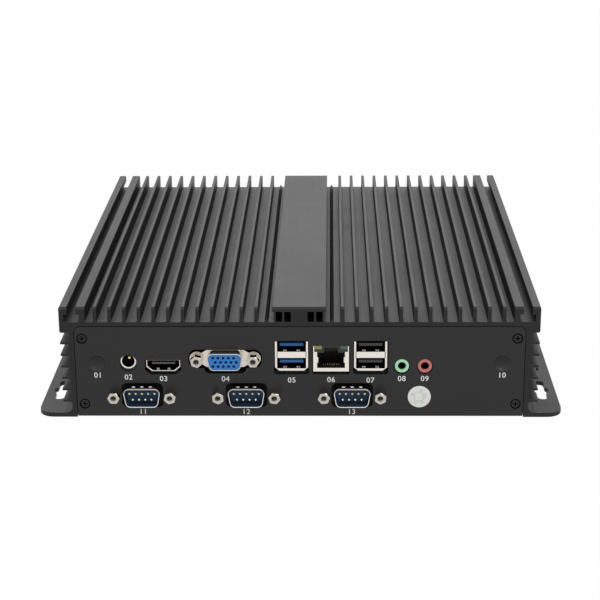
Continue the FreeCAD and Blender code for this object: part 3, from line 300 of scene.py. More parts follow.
def eared_plate(middle, depth, spacing, ear, half, flat, waist, thick, steps=81):
    """A flange plate with a round ear at each screw.

    Its half height over x is the higher of two: flat out to one x and then sloping to the
    waist, and the ear's circle. The sides' loops are joined along x and closed at the ends.
    """
    reach = spacing / 2 + ear
    x = -reach * np.cos(np.linspace(0, math.pi, steps))
    circle = np.sqrt(np.maximum(ear ** 2 - (np.abs(x) - spacing / 2) ** 2, 1e-10))
    slope = np.clip((spacing / 2 - np.abs(x)) / (spacing / 2 - flat), 0, 1)
    tall = np.maximum(circle, np.where(slope > 0, waist + (half - waist) * slope, 0))
    grid = in_rows(x[:, None] + middle[0], np.array([0, 0, thick, thick]) + depth,
                   np.stack([-tall, tall, tall, -tall], axis=1) + middle[2])
    walls = wrapped_faces(steps, 4).reshape(steps, 4, 4)[:-1].reshape(-1, 4)
    last = 4 * (steps - 1)
    ends = [[0, 1, 2, 3], [last + 3, last + 2, last + 1, last]]
    return grid, walls.tolist() + ends


def tube_profile(inner, outer, front, back, lip, bend):
    """A tube's closed section: pairs of radius and depth, with a sloped lip at its mouth.

    A second row of points lies a bend behind the mouth, to hold the walls straight.
    """
    near, far = front + lip, front + bend
    return ((outer, back), (outer, far), (outer, near), (outer - lip, front),
            (inner + lip, front), (inner, near), (inner, far), (inner, back))


def turned_piece(middle, profile, turns=48):
    """A surface of revolution about Y: pairs of radius and depth, closed where they meet."""
    radius, deep = (np.array(column) for column in zip(*profile))
    turn = full_turn(turns)[:, None]
    grid = in_rows(middle[0] + radius * np.cos(turn), deep, middle[2] + radius * np.sin(turn))
    return grid, wrapped_faces(turns, len(profile))


def threaded_bore(centre, radius, depth, pitch, height, turns=28):
    """The thread of a bore along Y, as a closed lining.

    Inside, its radius is the bore's less a raised cosine of depth over pitch less angle, which
    makes a helix. Outside it is the bore's own radius, so each angle holds one closed loop.
    """
    rows = int(depth / pitch * 8)
    along = np.linspace(0.0, depth, rows)[None, :]
    turn = full_turn(turns)[:, None]
    ridge = 0.5 + 0.5 * np.cos(2 * math.pi * along / pitch - turn)
    inner = radius - 0.02 * MM - height * ridge
    across = np.concatenate([inner, np.full_like(inner, radius)], axis=1)
    deep = np.concatenate([along, along[:, ::-1]], axis=1)
    grid = in_rows(centre[0] + across * np.cos(turn), centre[1] + deep,
                   centre[2] + across * np.sin(turn))
    return grid, wrapped_faces(turns, 2 * rows)


def spring_tab(middle, start, floor, wide=0.55 * MM, run=0.5 * MM, rise=0.95 * MM,
               thick=0.16 * MM, steps=9):
    """A bent contact tab: its height over its run is a half cosine, with the sheet's thickness
    laid off upwards, and the closed outline is carried across its width."""
    along = np.linspace(0, 1, steps)
    low = rise * (0.5 - 0.5 * np.cos(math.pi * along))
    outline = np.concatenate([np.stack([start + run * along, floor + low], axis=1),
                              np.stack([start + run * along, floor + low + thick], axis=1)[::-1]])
    sides = np.array([-wide / 2, wide / 2]) + middle
    count = len(outline)
    grid = np.concatenate([np.column_stack([np.full(count, x), outline]) for x in sides])
    index = np.arange(count)
    after = np.roll(index, -1)
    walls = np.stack([index, after, after + count, index + count], axis=-1).tolist()
    strips = np.arange(steps - 1)
    mirror = count - 1 - strips
    caps = np.stack([strips, strips + 1, mirror - 1, mirror], axis=-1)
    return grid, walls + caps[:, ::-1].tolist() + (caps + count).tolist()


def dome(centre, half, rows=12, columns=20):
    """An ellipsoid: height angle down the rows, turn angle round the columns."""
    height = np.linspace(0.02, math.pi - 0.02, rows)[:, None]
    turn = full_turn(columns)[None, :]
    unit = in_rows(np.sin(height) * np.cos(turn), np.sin(height) * np.sin(turn), np.cos(height))
    points = np.asarray(centre) + np.asarray(half) * unit
    index = np.arange(rows * columns).reshape(rows, columns)
    right = np.roll(index, -1, axis=1)
    quads = np.stack([index[:-1], index[1:], right[1:], right[:-1]], axis=-1).reshape(-1, 4)
    return points, quads.tolist() + [index[0].tolist(), index[-1][::-1].tolist()]


def joined_mesh(name, parts):
    """One mesh from several pairs of points and faces."""
    counts = np.cumsum([0] + [len(points) for points, faces in parts])
    points = np.concatenate([points for points, faces in parts])
    faces = [[corner + start for corner in face]
             for start, (_, rows) in zip(counts.tolist(), parts)
             for face in (rows.tolist() if hasattr(rows, "tolist") else rows)]
    mesh = bpy.data.meshes.new(name)
    mesh.from_pydata(points.tolist(), [], faces)
    work = bmesh.new()
    work.from_mesh(mesh)
    bmesh.ops.recalc_face_normals(work, faces=work.faces)
    for face in work.faces:
        face.smooth = True
    work.to_mesh(mesh)
    work.free()
    mesh.set_sharp_from_angle(angle=math.radians(50))
    mesh.update()
    return mesh


def add_part(name, parts, material, node=None):
    """Adds a piece made from pairs of points and faces; it may stand for a node."""
    piece = new_piece(name, joined_mesh(name, parts), material)
    if node:
        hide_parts(node)


def number_mesh(text, tall, thickness):
    """Points and triangles of a number, upright in the XZ plane and centred on the origin."""
    curve = bpy.data.curves.new("number", "FONT")
    curve.body = text
    curve.align_x = "CENTER"
    curve.extrude = 0.5
    curve.space_character = 1.1
    curve.offset = 0.008
    holder = add_object("number", curve)
    bpy.context.view_layer.update()
    shape = bpy.data.meshes.new_from_object(
        holder.evaluated_get(bpy.context.evaluated_depsgraph_get()))
    points = np.empty(len(shape.vertices) * 3)
    shape.vertices.foreach_get("co", points)
    points = points.reshape(-1, 3)
    shape.calc_loop_triangles()
    faces = np.empty(len(shape.loop_triangles) * 3, dtype=np.int32)
    shape.loop_triangles.foreach_get("vertices", faces)
    middle = (points.min(axis=0) + points.max(axis=0)) / 2
    scale = tall / np.ptp(points[:, 1])
    points = (points - middle) * np.array([scale, scale, thickness])
    bpy.data.objects.remove(holder)
    bpy.data.curves.remove(curve)
    bpy.data.meshes.remove(shape)
    return points[:, [0, 2, 1]] * np.array([1, -1, 1]), faces.reshape(-1, 3)


# ------------------------------------------------------------------ shader groups

ORIGIN, BACK, UP, DOWN = (0.0, 0.0, 0.0), (0.0, 1.0, 0.0), (0.0, 0.0, 1.0), (0.0, 0.0, -1.0)
ALONG_Y, EVEN = (1.0, 0.02, 1.0), (1.0, 1.0, 1.0)


def add_node(tree, kind, inputs=None, **settings):
    """Adds a node, sets its settings and fills its inputs with values or other sockets."""
    node = tree.nodes.new(kind)
    for name, value in settings.items():
        setattr(node, name, value)
    for name, value in (inputs or {}).items():
        if isinstance(value, bpy.types.NodeSocket):
            tree.links.new(value, node.inputs[name])
        else:
            node.inputs[name].default_value = value
    return node


def calculate(tree, operation, *values, clamp=False):
    """The result socket of a Math node."""
    return add_node(tree, "ShaderNodeMath", dict(enumerate(values)), operation=operation,
                    use_clamp=clamp).outputs[0]


def with_vectors(tree, operation, *vectors):
    """The outputs of a Vector Math node."""
    return add_node(tree, "ShaderNodeVectorMath", dict(enumerate(vectors)),
                    operation=operation).outputs


def noise(tree, vector, scale, detail=2.0, roughness=0.5):
    """A noise value, 0 to 1, at a number of waves for each metre."""
    return add_node(tree, "ShaderNodeTexNoise",
                    {"Vector": vector, "Scale": scale, "Detail": detail,
                     "Roughness": roughness}).outputs["Fac"]


def centred(tree, value, amount):
    """A 0 to 1 value turned into one about zero, times an amount."""
    return calculate(tree, "MULTIPLY", calculate(tree, "SUBTRACT", value, 0.5), amount)


def from_axis(tree, vector, centre):
    """How far a point is from an axis that runs along Y through a centre."""
    away = with_vectors(tree, "SUBTRACT", vector, centre)[0]
    flat = with_vectors(tree, "MULTIPLY", away, (1.0, 0.0, 1.0))[0]
    return with_vectors(tree, "LENGTH", flat)["Value"]


def fine_grain(tree, vector, scale, tone, patch):
    """Fine grain: a close noise for height, and a close and a wide noise for tone."""
    fine = noise(tree, vector, scale, 3.0, 0.6)
    wide = noise(tree, vector, 34.0, 3.0, 0.55)
    return {"Height": fine, "Tone": calculate(tree, "ADD", centred(tree, fine, tone), 1.0),
            "Patch": centred(tree, wide, patch)}


def drawn_lines(tree, vector, stretch, scale, tone):
    """Drawn lines: noise squeezed along one direction, so that it runs in streaks."""
    squeezed = with_vectors(tree, "MULTIPLY", vector, stretch)[0]
    streak = noise(tree, squeezed, scale, 2.0, 0.6)
    return {"Height": streak, "Tone": calculate(tree, "ADD", centred(tree, streak, tone), 1.0)}


def edge_wear(tree, vector, radius, amount):
    """Edge wear: how far a rounded normal turns from the true one, broken up by noise."""
    rounded = add_node(tree, "ShaderNodeBevel", {"Radius": radius}, samples=4).outputs[0]
    true = tree.nodes.new("ShaderNodeNewGeometry").outputs["Normal"]
    match = with_vectors(tree, "DOT_PRODUCT", rounded, true)["Value"]
    edge = calculate(tree, "MULTIPLY", calculate(tree, "SUBTRACT", 1.0, match), 6.0, clamp=True)
    broken = calculate(tree, "MULTIPLY", edge, noise(tree, vector, 700.0))
    return {"Mask": calculate(tree, "MULTIPLY", broken, amount, clamp=True)}


def dust(tree, vector, amount):
    """Dust: a thin broken veil on surfaces that face up."""
    normal = tree.nodes.new("ShaderNodeNewGeometry").outputs["Normal"]
    facing = add_node(tree, "ShaderNodeSeparateXYZ", {0: normal}).outputs["Z"]
    veil = calculate(tree, "MULTIPLY", noise(tree, vector, 60.0, 4.0, 0.7), 0.5)
    specks = calculate(tree, "GREATER_THAN", noise(tree, vector, 1700.0), 0.7)
    both = calculate(tree, "MULTIPLY", calculate(tree, "MAXIMUM", veil, specks),
                     calculate(tree, "MAXIMUM", facing, 0.0))
    return {"Mask": calculate(tree, "MULTIPLY", both, amount, clamp=True)}


def ramp(tree, vector, axis, start, fade):
    """Ramp of painted shade: nothing up to a start along an axis, all a little way beyond it."""
    along = with_vectors(tree, "DOT_PRODUCT", vector, axis)["Value"]
    past = calculate(tree, "SUBTRACT", along, start)
    return {"Mask": calculate(tree, "DIVIDE", past, fade, clamp=True)}


def ring_mark(tree, vector, centre, radius, half_width):
    """A ring about an axis along Y: the distance from it, less the ring's radius."""
    gap = calculate(tree, "SUBTRACT", from_axis(tree, vector, centre), radius)
    return {"Mask": calculate(tree, "LESS_THAN", calculate(tree, "ABSOLUTE", gap), half_width)}


def turned_lines(tree, vector, centre, scale):
    """Turned lines: noise read along the distance from an axis that runs along Y."""
    away = from_axis(tree, vector, centre)
    line = add_node(tree, "ShaderNodeCombineXYZ", {"X": away}).outputs[0]
    return {"Height": noise(tree, line, scale, 1.0)}


def circuit_tracks(tree, vector, scale):
    """Circuit tracks: bands of the distance to the nearest point of a square cell pattern."""
    cells = add_node(tree, "ShaderNodeTexVoronoi", {"Vector": vector, "Scale": scale},
                     feature="F1", distance="CHEBYCHEV").outputs["Distance"]
    band = calculate(tree, "FRACT", calculate(tree, "MULTIPLY", cells, 5.0))
    return {"Mask": calculate(tree, "GREATER_THAN", band, 0.7)}


GROUPS = {
    "fine grain": (fine_grain, {"Grains per metre": 3000.0, "Tone": 0.1, "Patch": 0.1}),
    "drawn lines": (drawn_lines, {"Stretch": ALONG_Y, "Lines per metre": 3000.0, "Tone": 0.1}),
    "edge wear": (edge_wear, {"Radius": 0.0004, "Amount": 0.5}),
    "dust": (dust, {"Amount": 0.2}),
    "ramp": (ramp, {"Axis": BACK, "Start": 0.0, "Fade": 0.001}),
    "ring mark": (ring_mark, {"Centre": ORIGIN, "Radius": 0.001, "Half Width": 0.0003}),
    "turned lines": (turned_lines, {"Centre": ORIGIN, "Lines per metre": 4000.0}),
    "circuit tracks": (circuit_tracks, {"Tracks per metre": 500.0}),
}
groups = {}


def build_group(name):
    """Builds a shared group: its input sockets from the table, the rest by its function."""
    make, inputs = GROUPS[name]
    tree = bpy.data.node_groups.new(name, "ShaderNodeTree")
    for label, value in {"Vector": ORIGIN, **inputs}.items():
        kind = "NodeSocketVector" if isinstance(value, tuple) else "NodeSocketFloat"
        tree.interface.new_socket(label, in_out="INPUT", socket_type=kind).default_value = value
    source = tree.nodes.new("NodeGroupInput")
    results = make(tree, *list(source.outputs)[:-1])
    for label in results:
        tree.interface.new_socket(label, in_out="OUTPUT", socket_type="NodeSocketFloat")
    sink = tree.nodes.new("NodeGroupOutput")
    for label, socket in results.items():
        tree.links.new(socket, sink.inputs[label])
    return tree


def use_group(tree, name, place, **values):
    """The outputs of a shared group on Object coordinates; it is built on its first use.

    A value's name is its socket's, in small letters and with an underscore for each space.
    """
    if name not in groups:
        groups[name] = build_group(name)
    sockets = {label: values[label.lower().replace(" ", "_")] for label in GROUPS[name][1]}
    return add_node(tree, "ShaderNodeGroup", {"Vector": place, **sockets},
                    node_tree=groups[name]).outputs


def grained(tree, place, grains, tone, patch):
    """The shared grain at a number of grains for each metre."""
    return use_group(tree, "fine grain", place, grains_per_metre=grains, tone=tone, patch=patch)


# ------------------------------------------------------------------ materials

def full_colour(value):
    """A colour's socket as it is, or a plain colour with its alpha."""
    return value if isinstance(value, bpy.types.NodeSocket) else (*value, 1.0)


def mixed(tree, amount, first, second, blend="MIX"):
    """A colour between two colours, or their blend."""
    return add_node(tree, "ShaderNodeMix",
                    {0: amount, 6: full_colour(first), 7: full_colour(second)},
                    data_type="RGBA", blend_type=blend).outputs[2]


def toned(tree, colour, tone):
    """A colour times a value about one."""
    grey = add_node(tree, "ShaderNodeCombineColor",
                    {"Red": tone, "Green": tone, "Blue": tone}).outputs[0]
    return mixed(tree, 1.0, colour, grey, "MULTIPLY")


finishes = {}


def new_material(name):
    """An empty material, kept in finishes: its tree and its Object coordinates."""
    material = finishes[name] = bpy.data.materials.new(name)
    material.use_nodes = True
    tree = material.node_tree
    return tree, tree.nodes.new("ShaderNodeTexCoord").outputs["Object"]


def shader_of(tree):
    """The shader that a new material comes with."""
    return tree.nodes["Principled BSDF"]


def set_roughness(tree, middle, *changes):
    """Roughness about a middle value, with masks that are about zero added."""
    value = middle
    for change in changes:
        value = calculate(tree, "ADD", change, value, clamp=True)
    tree.links.new(value, shader_of(tree).inputs["Roughness"])


def dressed(name, base, roughness, changes, height, depth, **constants):
    """Feeds a material's shader: its colour, its roughness, and a bump of a depth in metres.

    A constant's name is its socket's, with an underscore for each space.
    """
    material = finishes[name]
    tree = material.node_tree
    shader = shader_of(tree)
    tree.links.new(base, shader.inputs["Base Color"])
    set_roughness(tree, roughness, *changes)
    bump = add_node(tree, "ShaderNodeBump", {"Height": height, "Distance": depth,
                                             "Strength": 1.0})
    tree.links.new(bump.outputs[0], shader.inputs["Normal"])
    for label, value in constants.items():
        shader.inputs[label.replace("_", " ")].default_value = value
    return material


def marked(tree, place, ramps=(), rings=()):
    """The highest of the masks of ramps along an axis and of rings about an axis along Y."""
    masks = [use_group(tree, "ramp", place, axis=axis, start=start, fade=fade)["Mask"]
             for axis, start, fade in ramps]
    masks += [use_group(tree, "ring mark", place, centre=centre, radius=radius,
                        half_width=half)["Mask"] for centre, radius, half in rings]
    result = masks[0]
    for mask in masks[1:]:
        result = calculate(tree, "MAXIMUM", mask, result)
    return result


def shade_past(axis, start, after, fade):
    """A ramp of painted shade for marked: it begins so many millimetres after a start and fades
    in over more.
    """
    return axis, start + after * MM, fade * MM


def shaded(tree, base, mask, metallic, deep=(0.006, 0.006, 0.006)):
    """Paints shade nearly black, as dark metal, where a mask says so, and mixes nothing
    elsewhere.
    """
    rest = calculate(tree, "SUBTRACT", 1.0, mask)
    body = calculate(tree, "MULTIPLY", rest, metallic)
    tree.links.new(calculate(tree, "ADD", body, mask, clamp=True),
                   shader_of(tree).inputs["Metallic"])
    return mixed(tree, mask, base, deep)


def anodised(name, colour, roughness, line_spacing, specular=0.34):
    """Black anodised aluminium: die lines along Y, blasted grain, dust and pale edges."""
    tree, place = new_material(name)
    grain = grained(tree, place, 5200.0, 0.5, 0.10)
    lines = use_group(tree, "drawn lines", place, stretch=(1.0, 0.006, 1.0),
                      lines_per_metre=1.0 / line_spacing, tone=0.35)
    wear = use_group(tree, "edge wear", place, radius=0.0004, amount=0.35)["Mask"]
    veil = use_group(tree, "dust", place, amount=0.10)["Mask"]
    base = toned(tree, toned(tree, colour, grain["Tone"]), lines["Tone"])
    dusty = mixed(tree, veil, base, (0.16, 0.155, 0.15))
    pale = mixed(tree, wear, dusty, (0.10, 0.10, 0.105))
    changes = (centred(tree, lines["Height"], 0.10), grain["Patch"],
               calculate(tree, "MULTIPLY", veil, 0.5))
    both = calculate(tree, "ADD", calculate(tree, "MULTIPLY", grain["Height"], 0.5),
                     lines["Height"])
    return dressed(name, pale, roughness, changes, both, 0.000006, Specular_IOR_Level=specular)


def coated(name, colour, roughness, grains, depth, patch=0.08, tone=0.2, specular=0.5,
           edge=0.0, ramps=(), rings=()):
    """A painted, moulded or etched surface: fine grain, wide patches and worn edges."""
    tree, place = new_material(name)
    grain = grained(tree, place, grains, tone, patch)
    base = toned(tree, colour, grain["Tone"])
    if edge:
        wear = use_group(tree, "edge wear", place, radius=0.0003, amount=edge)["Mask"]
        light = tuple(min(1.0, channel * 2.0 + 0.03) for channel in colour)
        base = mixed(tree, wear, base, light)
    # Ramps and rings paint shade nearly black.
    if ramps or rings:
        base = shaded(tree, base, marked(tree, place, ramps, rings), 0.0)
    return dressed(name, base, roughness, (grain["Patch"],), grain["Height"], depth,
                   Specular_IOR_Level=specular)


def plated(name, colour, roughness, stretch=ALONG_Y, lines_per_metre=2600.0, ramps=()):
    """Bright metal: fine rolled or drawn lines, and handling smudges in the gloss."""
    tree, place = new_material(name)
    lines = use_group(tree, "drawn lines", place, stretch=stretch,
                      lines_per_metre=lines_per_metre, tone=0.10)
    grain = grained(tree, place, 900.0, 0.08, 0.03)
    base = toned(tree, toned(tree, colour, lines["Tone"]), grain["Tone"])
    # Ramps paint shade nearly black.
    if ramps:
        base = shaded(tree, base, marked(tree, place, ramps), 1.0)
    changes = (centred(tree, lines["Height"], 0.02), grain["Patch"])
    return dressed(name, base, roughness, changes, lines["Height"], 0.000001, Metallic=1.0)


def turned_metal(name, colour, roughness, node):
    """Lathe-turned metal: rings about the node's own axis, which runs along Y."""
    tree, place = new_material(name)
    rings = use_group(tree, "turned lines", place, centre=tuple(middle_of(node)),
                      lines_per_metre=5000.0)["Height"]
    grain = grained(tree, place, 1500.0, 0.1, 0.15)
    return dressed(name, toned(tree, colour, grain["Tone"]), roughness,
                   (centred(tree, rings, 0.2), grain["Patch"]), rings, 0.000003, Metallic=1.0)


def lens_plastic(name, colour, glow):
    """A tinted lamp lens: glossy coat over slightly cloudy plastic that glows a little."""
    tree, place = new_material(name)
    grain = grained(tree, place, 1400.0, 0.35, 0.1)
    base = toned(tree, colour, grain["Tone"])
    tree.links.new(base, shader_of(tree).inputs["Emission Color"])
    return dressed(name, base, 0.22, (grain["Patch"],), grain["Height"], 0.000004,
                   Emission_Strength=glow, Coat_Weight=0.4)


def sticker_paper(settings):
    """Matt label stock with soft rings and dots printed on it.

    Each mark has its place right of and above the middle, its radius and its half width.
    """
    tree, place = new_material("sticker_paper")
    middle = middle_of("round_sticker")
    grain = grained(tree, place, 2500.0, 0.06, 0.06)
    blur = grained(tree, place, 900.0, 1.0, 0.1)
    marks = ((0.0, 0.0, 2.2, 0.3), (2.2, 0.3, 0.75, 0.28), (-2.9, 1.2, 0.0, 0.7),
             (1.0, -2.4, 0.6, 0.25), (0.9, 2.9, 0.0, 0.75), (-1.4, -2.7, 0.7, 0.3))
    rings = [((middle[0] + right * MM, middle[1], middle[2] + up * MM), radius * MM, half * MM)
             for right, up, radius, half in marks]
    faded = calculate(tree, "MULTIPLY", blur["Tone"], 0.42)
    soft = calculate(tree, "MULTIPLY", marked(tree, place, rings=rings), faded, clamp=True)
    paper = toned(tree, settings.paper, grain["Tone"])
    return dressed("sticker_paper", mixed(tree, soft, paper, settings.mark), 0.6,
                   (grain["Patch"],), grain["Height"], 0.000004)


def circuit_board():
    """Green solder mask over copper tracks."""
    tree, place = new_material("board_green")
    tracks = use_group(tree, "circuit tracks", place, tracks_per_metre=260.0)["Mask"]
    grain = grained(tree, place, 2200.0, 0.2, 0.12)
    base = mixed(tree, tracks, (0.0015, 0.011, 0.005), (0.0025, 0.018, 0.008))
    return dressed("board_green", toned(tree, base, grain["Tone"]), 0.38, (grain["Patch"],),
                   tracks, 0.00003)


# ------------------------------------------------------------------ operators

def place_material(nodes, material):
    """Gives a finish to nodes whose own shape is shown."""
    for node in nodes:
        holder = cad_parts[node]
        for index in range(len(holder.material_slots)):
            holder.material_slots[index].material = material


class COMPUTER_OT_housing(bpy.types.Operator):
    """Finish the finned body, both end panels and the bottom cover"""

    bl_idname = "computer.housing"
    bl_label = "Housing and panels"

    def execute(self, context):
        look = context.scene.computer_housing
        metal = anodised("housing_alu", look.metal, look.body_roughness, look.line_width)
        surfaced("housing", metal, look.edge, joined=False)
        for node, name, screws in (("front_panel", "panel_alu", "front_panel_screws"),
                                   ("rear_panel", "rear_panel_alu", "rear_panel_screws")):
            low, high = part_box(screws)
            across, up = (high - low)[0] / 2, (high - low)[2] / 2
            # Painted shade: a nearly black ring in the gap round each panel screw's head.
            painted_gap_shade = [((x * (across - look.screw_head), low[1],
                      (low[2] + high[2]) / 2 + z * (up - look.screw_head)),
                     look.screw_head + look.screw_gap / 2, look.screw_gap * 0.7)
                    for x in (-1, 1) for z in (-1, 1)]
            finish = coated(name, look.panel, look.panel_roughness, 5000.0, 0.000006,
                            patch=0.08, tone=0.5, specular=0.38, edge=0.3, rings=painted_gap_shade)
            surfaced(node, finish, look.plate_edge)
        cover = coated("cover_steel", look.cover, 0.48, 2600.0, 0.00002, patch=0.1, tone=0.3)
        surfaced("bottom_cover", cover, look.plate_edge)
        return {"FINISHED"}


class COMPUTER_OT_screws(bpy.types.Operator):
    """Finish the panel and cover screws"""

    bl_idname = "computer.screws"
    bl_label = "Screws"

    def execute(self, context):
        edge = context.scene.computer_sockets.fine_edge
        for node, name, axis in (("front_panel_screws", "black_screw", BACK),
                                 ("rear_panel_screws", "rear_screw", (0.0, -1.0, 0.0)),
                                 ("bottom_cover_screws", "cover_screw", UP)):
            low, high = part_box(node)
            head = Vector(axis).dot(low if sum(axis) > 0 else high)
            # Painted shade: each head turns nearly black from just behind its face, in its cross
            # recess and down its sides.
            drive = (shade_past(axis, head, 0.12, 0.15),)
            black = coated(name, (0.012, 0.012, 0.013), 0.36, 3500.0, 0.000006, patch=0.15,
                           tone=0.5, specular=0.3, edge=0.5, ramps=drive)
            surfaced(node, black, edge)
        return {"FINISHED"}


class COMPUTER_OT_serial_ports(bpy.types.Operator):
    """Finish the serial ports, with their rolled rims and contact dimples"""

    bl_idname = "computer.serial_ports"
    bl_label = "Serial ports"

    def execute(self, context):
        look = context.scene.computer_sockets
        steel = plated("shell_steel", look.steel, 0.05)
        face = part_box("front_panel")[0][1]
        # Painted shade: each serial shell turns nearly black wherever it lies more than 0.15 mm
        # behind the panel's face, its flange among it.
        behind = (shade_past(BACK, face, 0.15, 0.2),)
        shade = plated("serial_steel", look.steel, 0.03, ramps=behind)
        height = middle_of("serial_port_1_shell")[2]
        # Painted shade: the blue inserts turn darker towards their bottoms.
        lower = (shade_past(DOWN, -height, -1.6, 7.5),)
        # Painted shade: the rolled rims are a darker copy of the shell steel, and darker still
        # towards their bottoms.
        painted_rim_shade = (shade_past(DOWN, -height, -3.5, 9.5),)
        bead = plated("rim_steel", (0.43, 0.41, 0.37), 0.12, EVEN, ramps=painted_rim_shade)
        blue = coated("serial_blue", look.serial_blue, 0.42, MOULD_GRAIN, MOULD_DEPTH, tone=0.12,
                      specular=0.25, ramps=lower)
        gold = plated("pin_gold", look.gold, 0.08, (1.0, 0.05, 1.0))
        for port in SERIAL_PORTS:
            shell = port + "_shell"
            surfaced(shell, shade, look.fine_edge)
            surfaced(port + "_insert", blue, look.fine_edge)
            surfaced(port + "_pins", gold, 0.0)
            rim = rolled_rim(shell, look.plug_width, look.plug_height, look.plug_corner,
                             look.plug_wall, look.rim_side, look.rim_top)
            add_part(port + "_rim", [rim], bead)
            middle, front = middle_of(shell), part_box(shell)[0][1]
            top = middle[2] + look.plug_height / 2
            behind_mouth, half_length, rise = 3.1 * MM, 0.7 * MM, 0.3 * MM
            half = (look.dimple_width / 2, half_length, rise)
            domes = [dome((middle[0] + step * look.dimple_pitch, front + behind_mouth, top), half)
                     for step in (-1, 0, 1)]
            add_part(port + "_dimples", domes, steel)
        return {"FINISHED"}


class COMPUTER_OT_monitor_port(bpy.types.Operator):
    """Finish the monitor port and every port's jackscrews"""

    bl_idname = "computer.monitor_port"
    bl_label = "Monitor port"

    def execute(self, context):
        look = context.scene.computer_sockets
        steel = plated("flange_steel", (0.62, 0.57, 0.49), 0.05)
        low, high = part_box("monitor_port_shell")
        middle = (low + high) / 2
        face, sunk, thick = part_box("front_panel")[0][1], 0.5 * MM, 0.8 * MM
        plate = face + sunk
        wall, lip = look.plug_wall, look.fine_edge * 2
        profile = tube_profile(-wall, 0, low[1], plate + thick / 2, lip, 1.5 * lip)
        shape = [d_sleeve(middle, look.socket_width, look.socket_height, look.plug_corner,
                          profile),
                 eared_plate(middle, plate, look.screw_spacing, look.ear, look.flange_half,
                             look.socket_width / 2, waist=1.4 * MM, thick=thick)]
        add_part("monitor_port_sleeve", shape, steel, "monitor_port_shell")
        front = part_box("monitor_port_insert")[0][1]
        # Painted shade: the blue insert turns nearly black from just behind its face, in its
        # contact holes.
        painted_hole_shade = (shade_past(BACK, front, 0.12, 0.25),)
        blue = coated("port_blue", look.monitor_blue, 0.36, MOULD_GRAIN, MOULD_DEPTH, tone=0.1,
                      specular=0.4, ramps=painted_hole_shade)
        surfaced("monitor_port_insert", blue, look.fine_edge)
        nuts = plated("jackscrew_steel", (0.52, 0.49, 0.44), 0.07, (1.0, 0.03, 1.0))
        surfaced("port_jackscrews", nuts, look.fine_edge * 2)
        # Painted shade: the thread and the bore floors take a darker, duller steel than the
        # jackscrews, for the shade inside the bores.
        dark = plated("thread_steel", (0.45, 0.42, 0.38), 0.25, EVEN)
        parts, lead = [], 0.15 * MM
        for node, seat in [(port + "_shell", 0.0) for port in SERIAL_PORTS] + [
                ("monitor_port_shell", sunk)]:
            middle = middle_of(node)
            deep = face + seat - look.screw_reach + lead
            for side in (-1, 1):
                mouth = (middle[0] + side * look.screw_spacing / 2, deep, middle[2])
                parts.append(threaded_bore(mouth, look.bore, look.bore_depth,
                                           look.thread_pitch, look.thread_height))
                # Painted shade: a dark floor a little in front of each bore's own bright floor.
                floor = (mouth[0], mouth[1] + look.bore_depth - 0.2 * MM, mouth[2])
                parts.append(dome(floor, (look.bore * 0.98, 0.15 * MM, look.bore * 0.98)))
        add_part("jackscrew_threads", parts, dark)
        return {"FINISHED"}


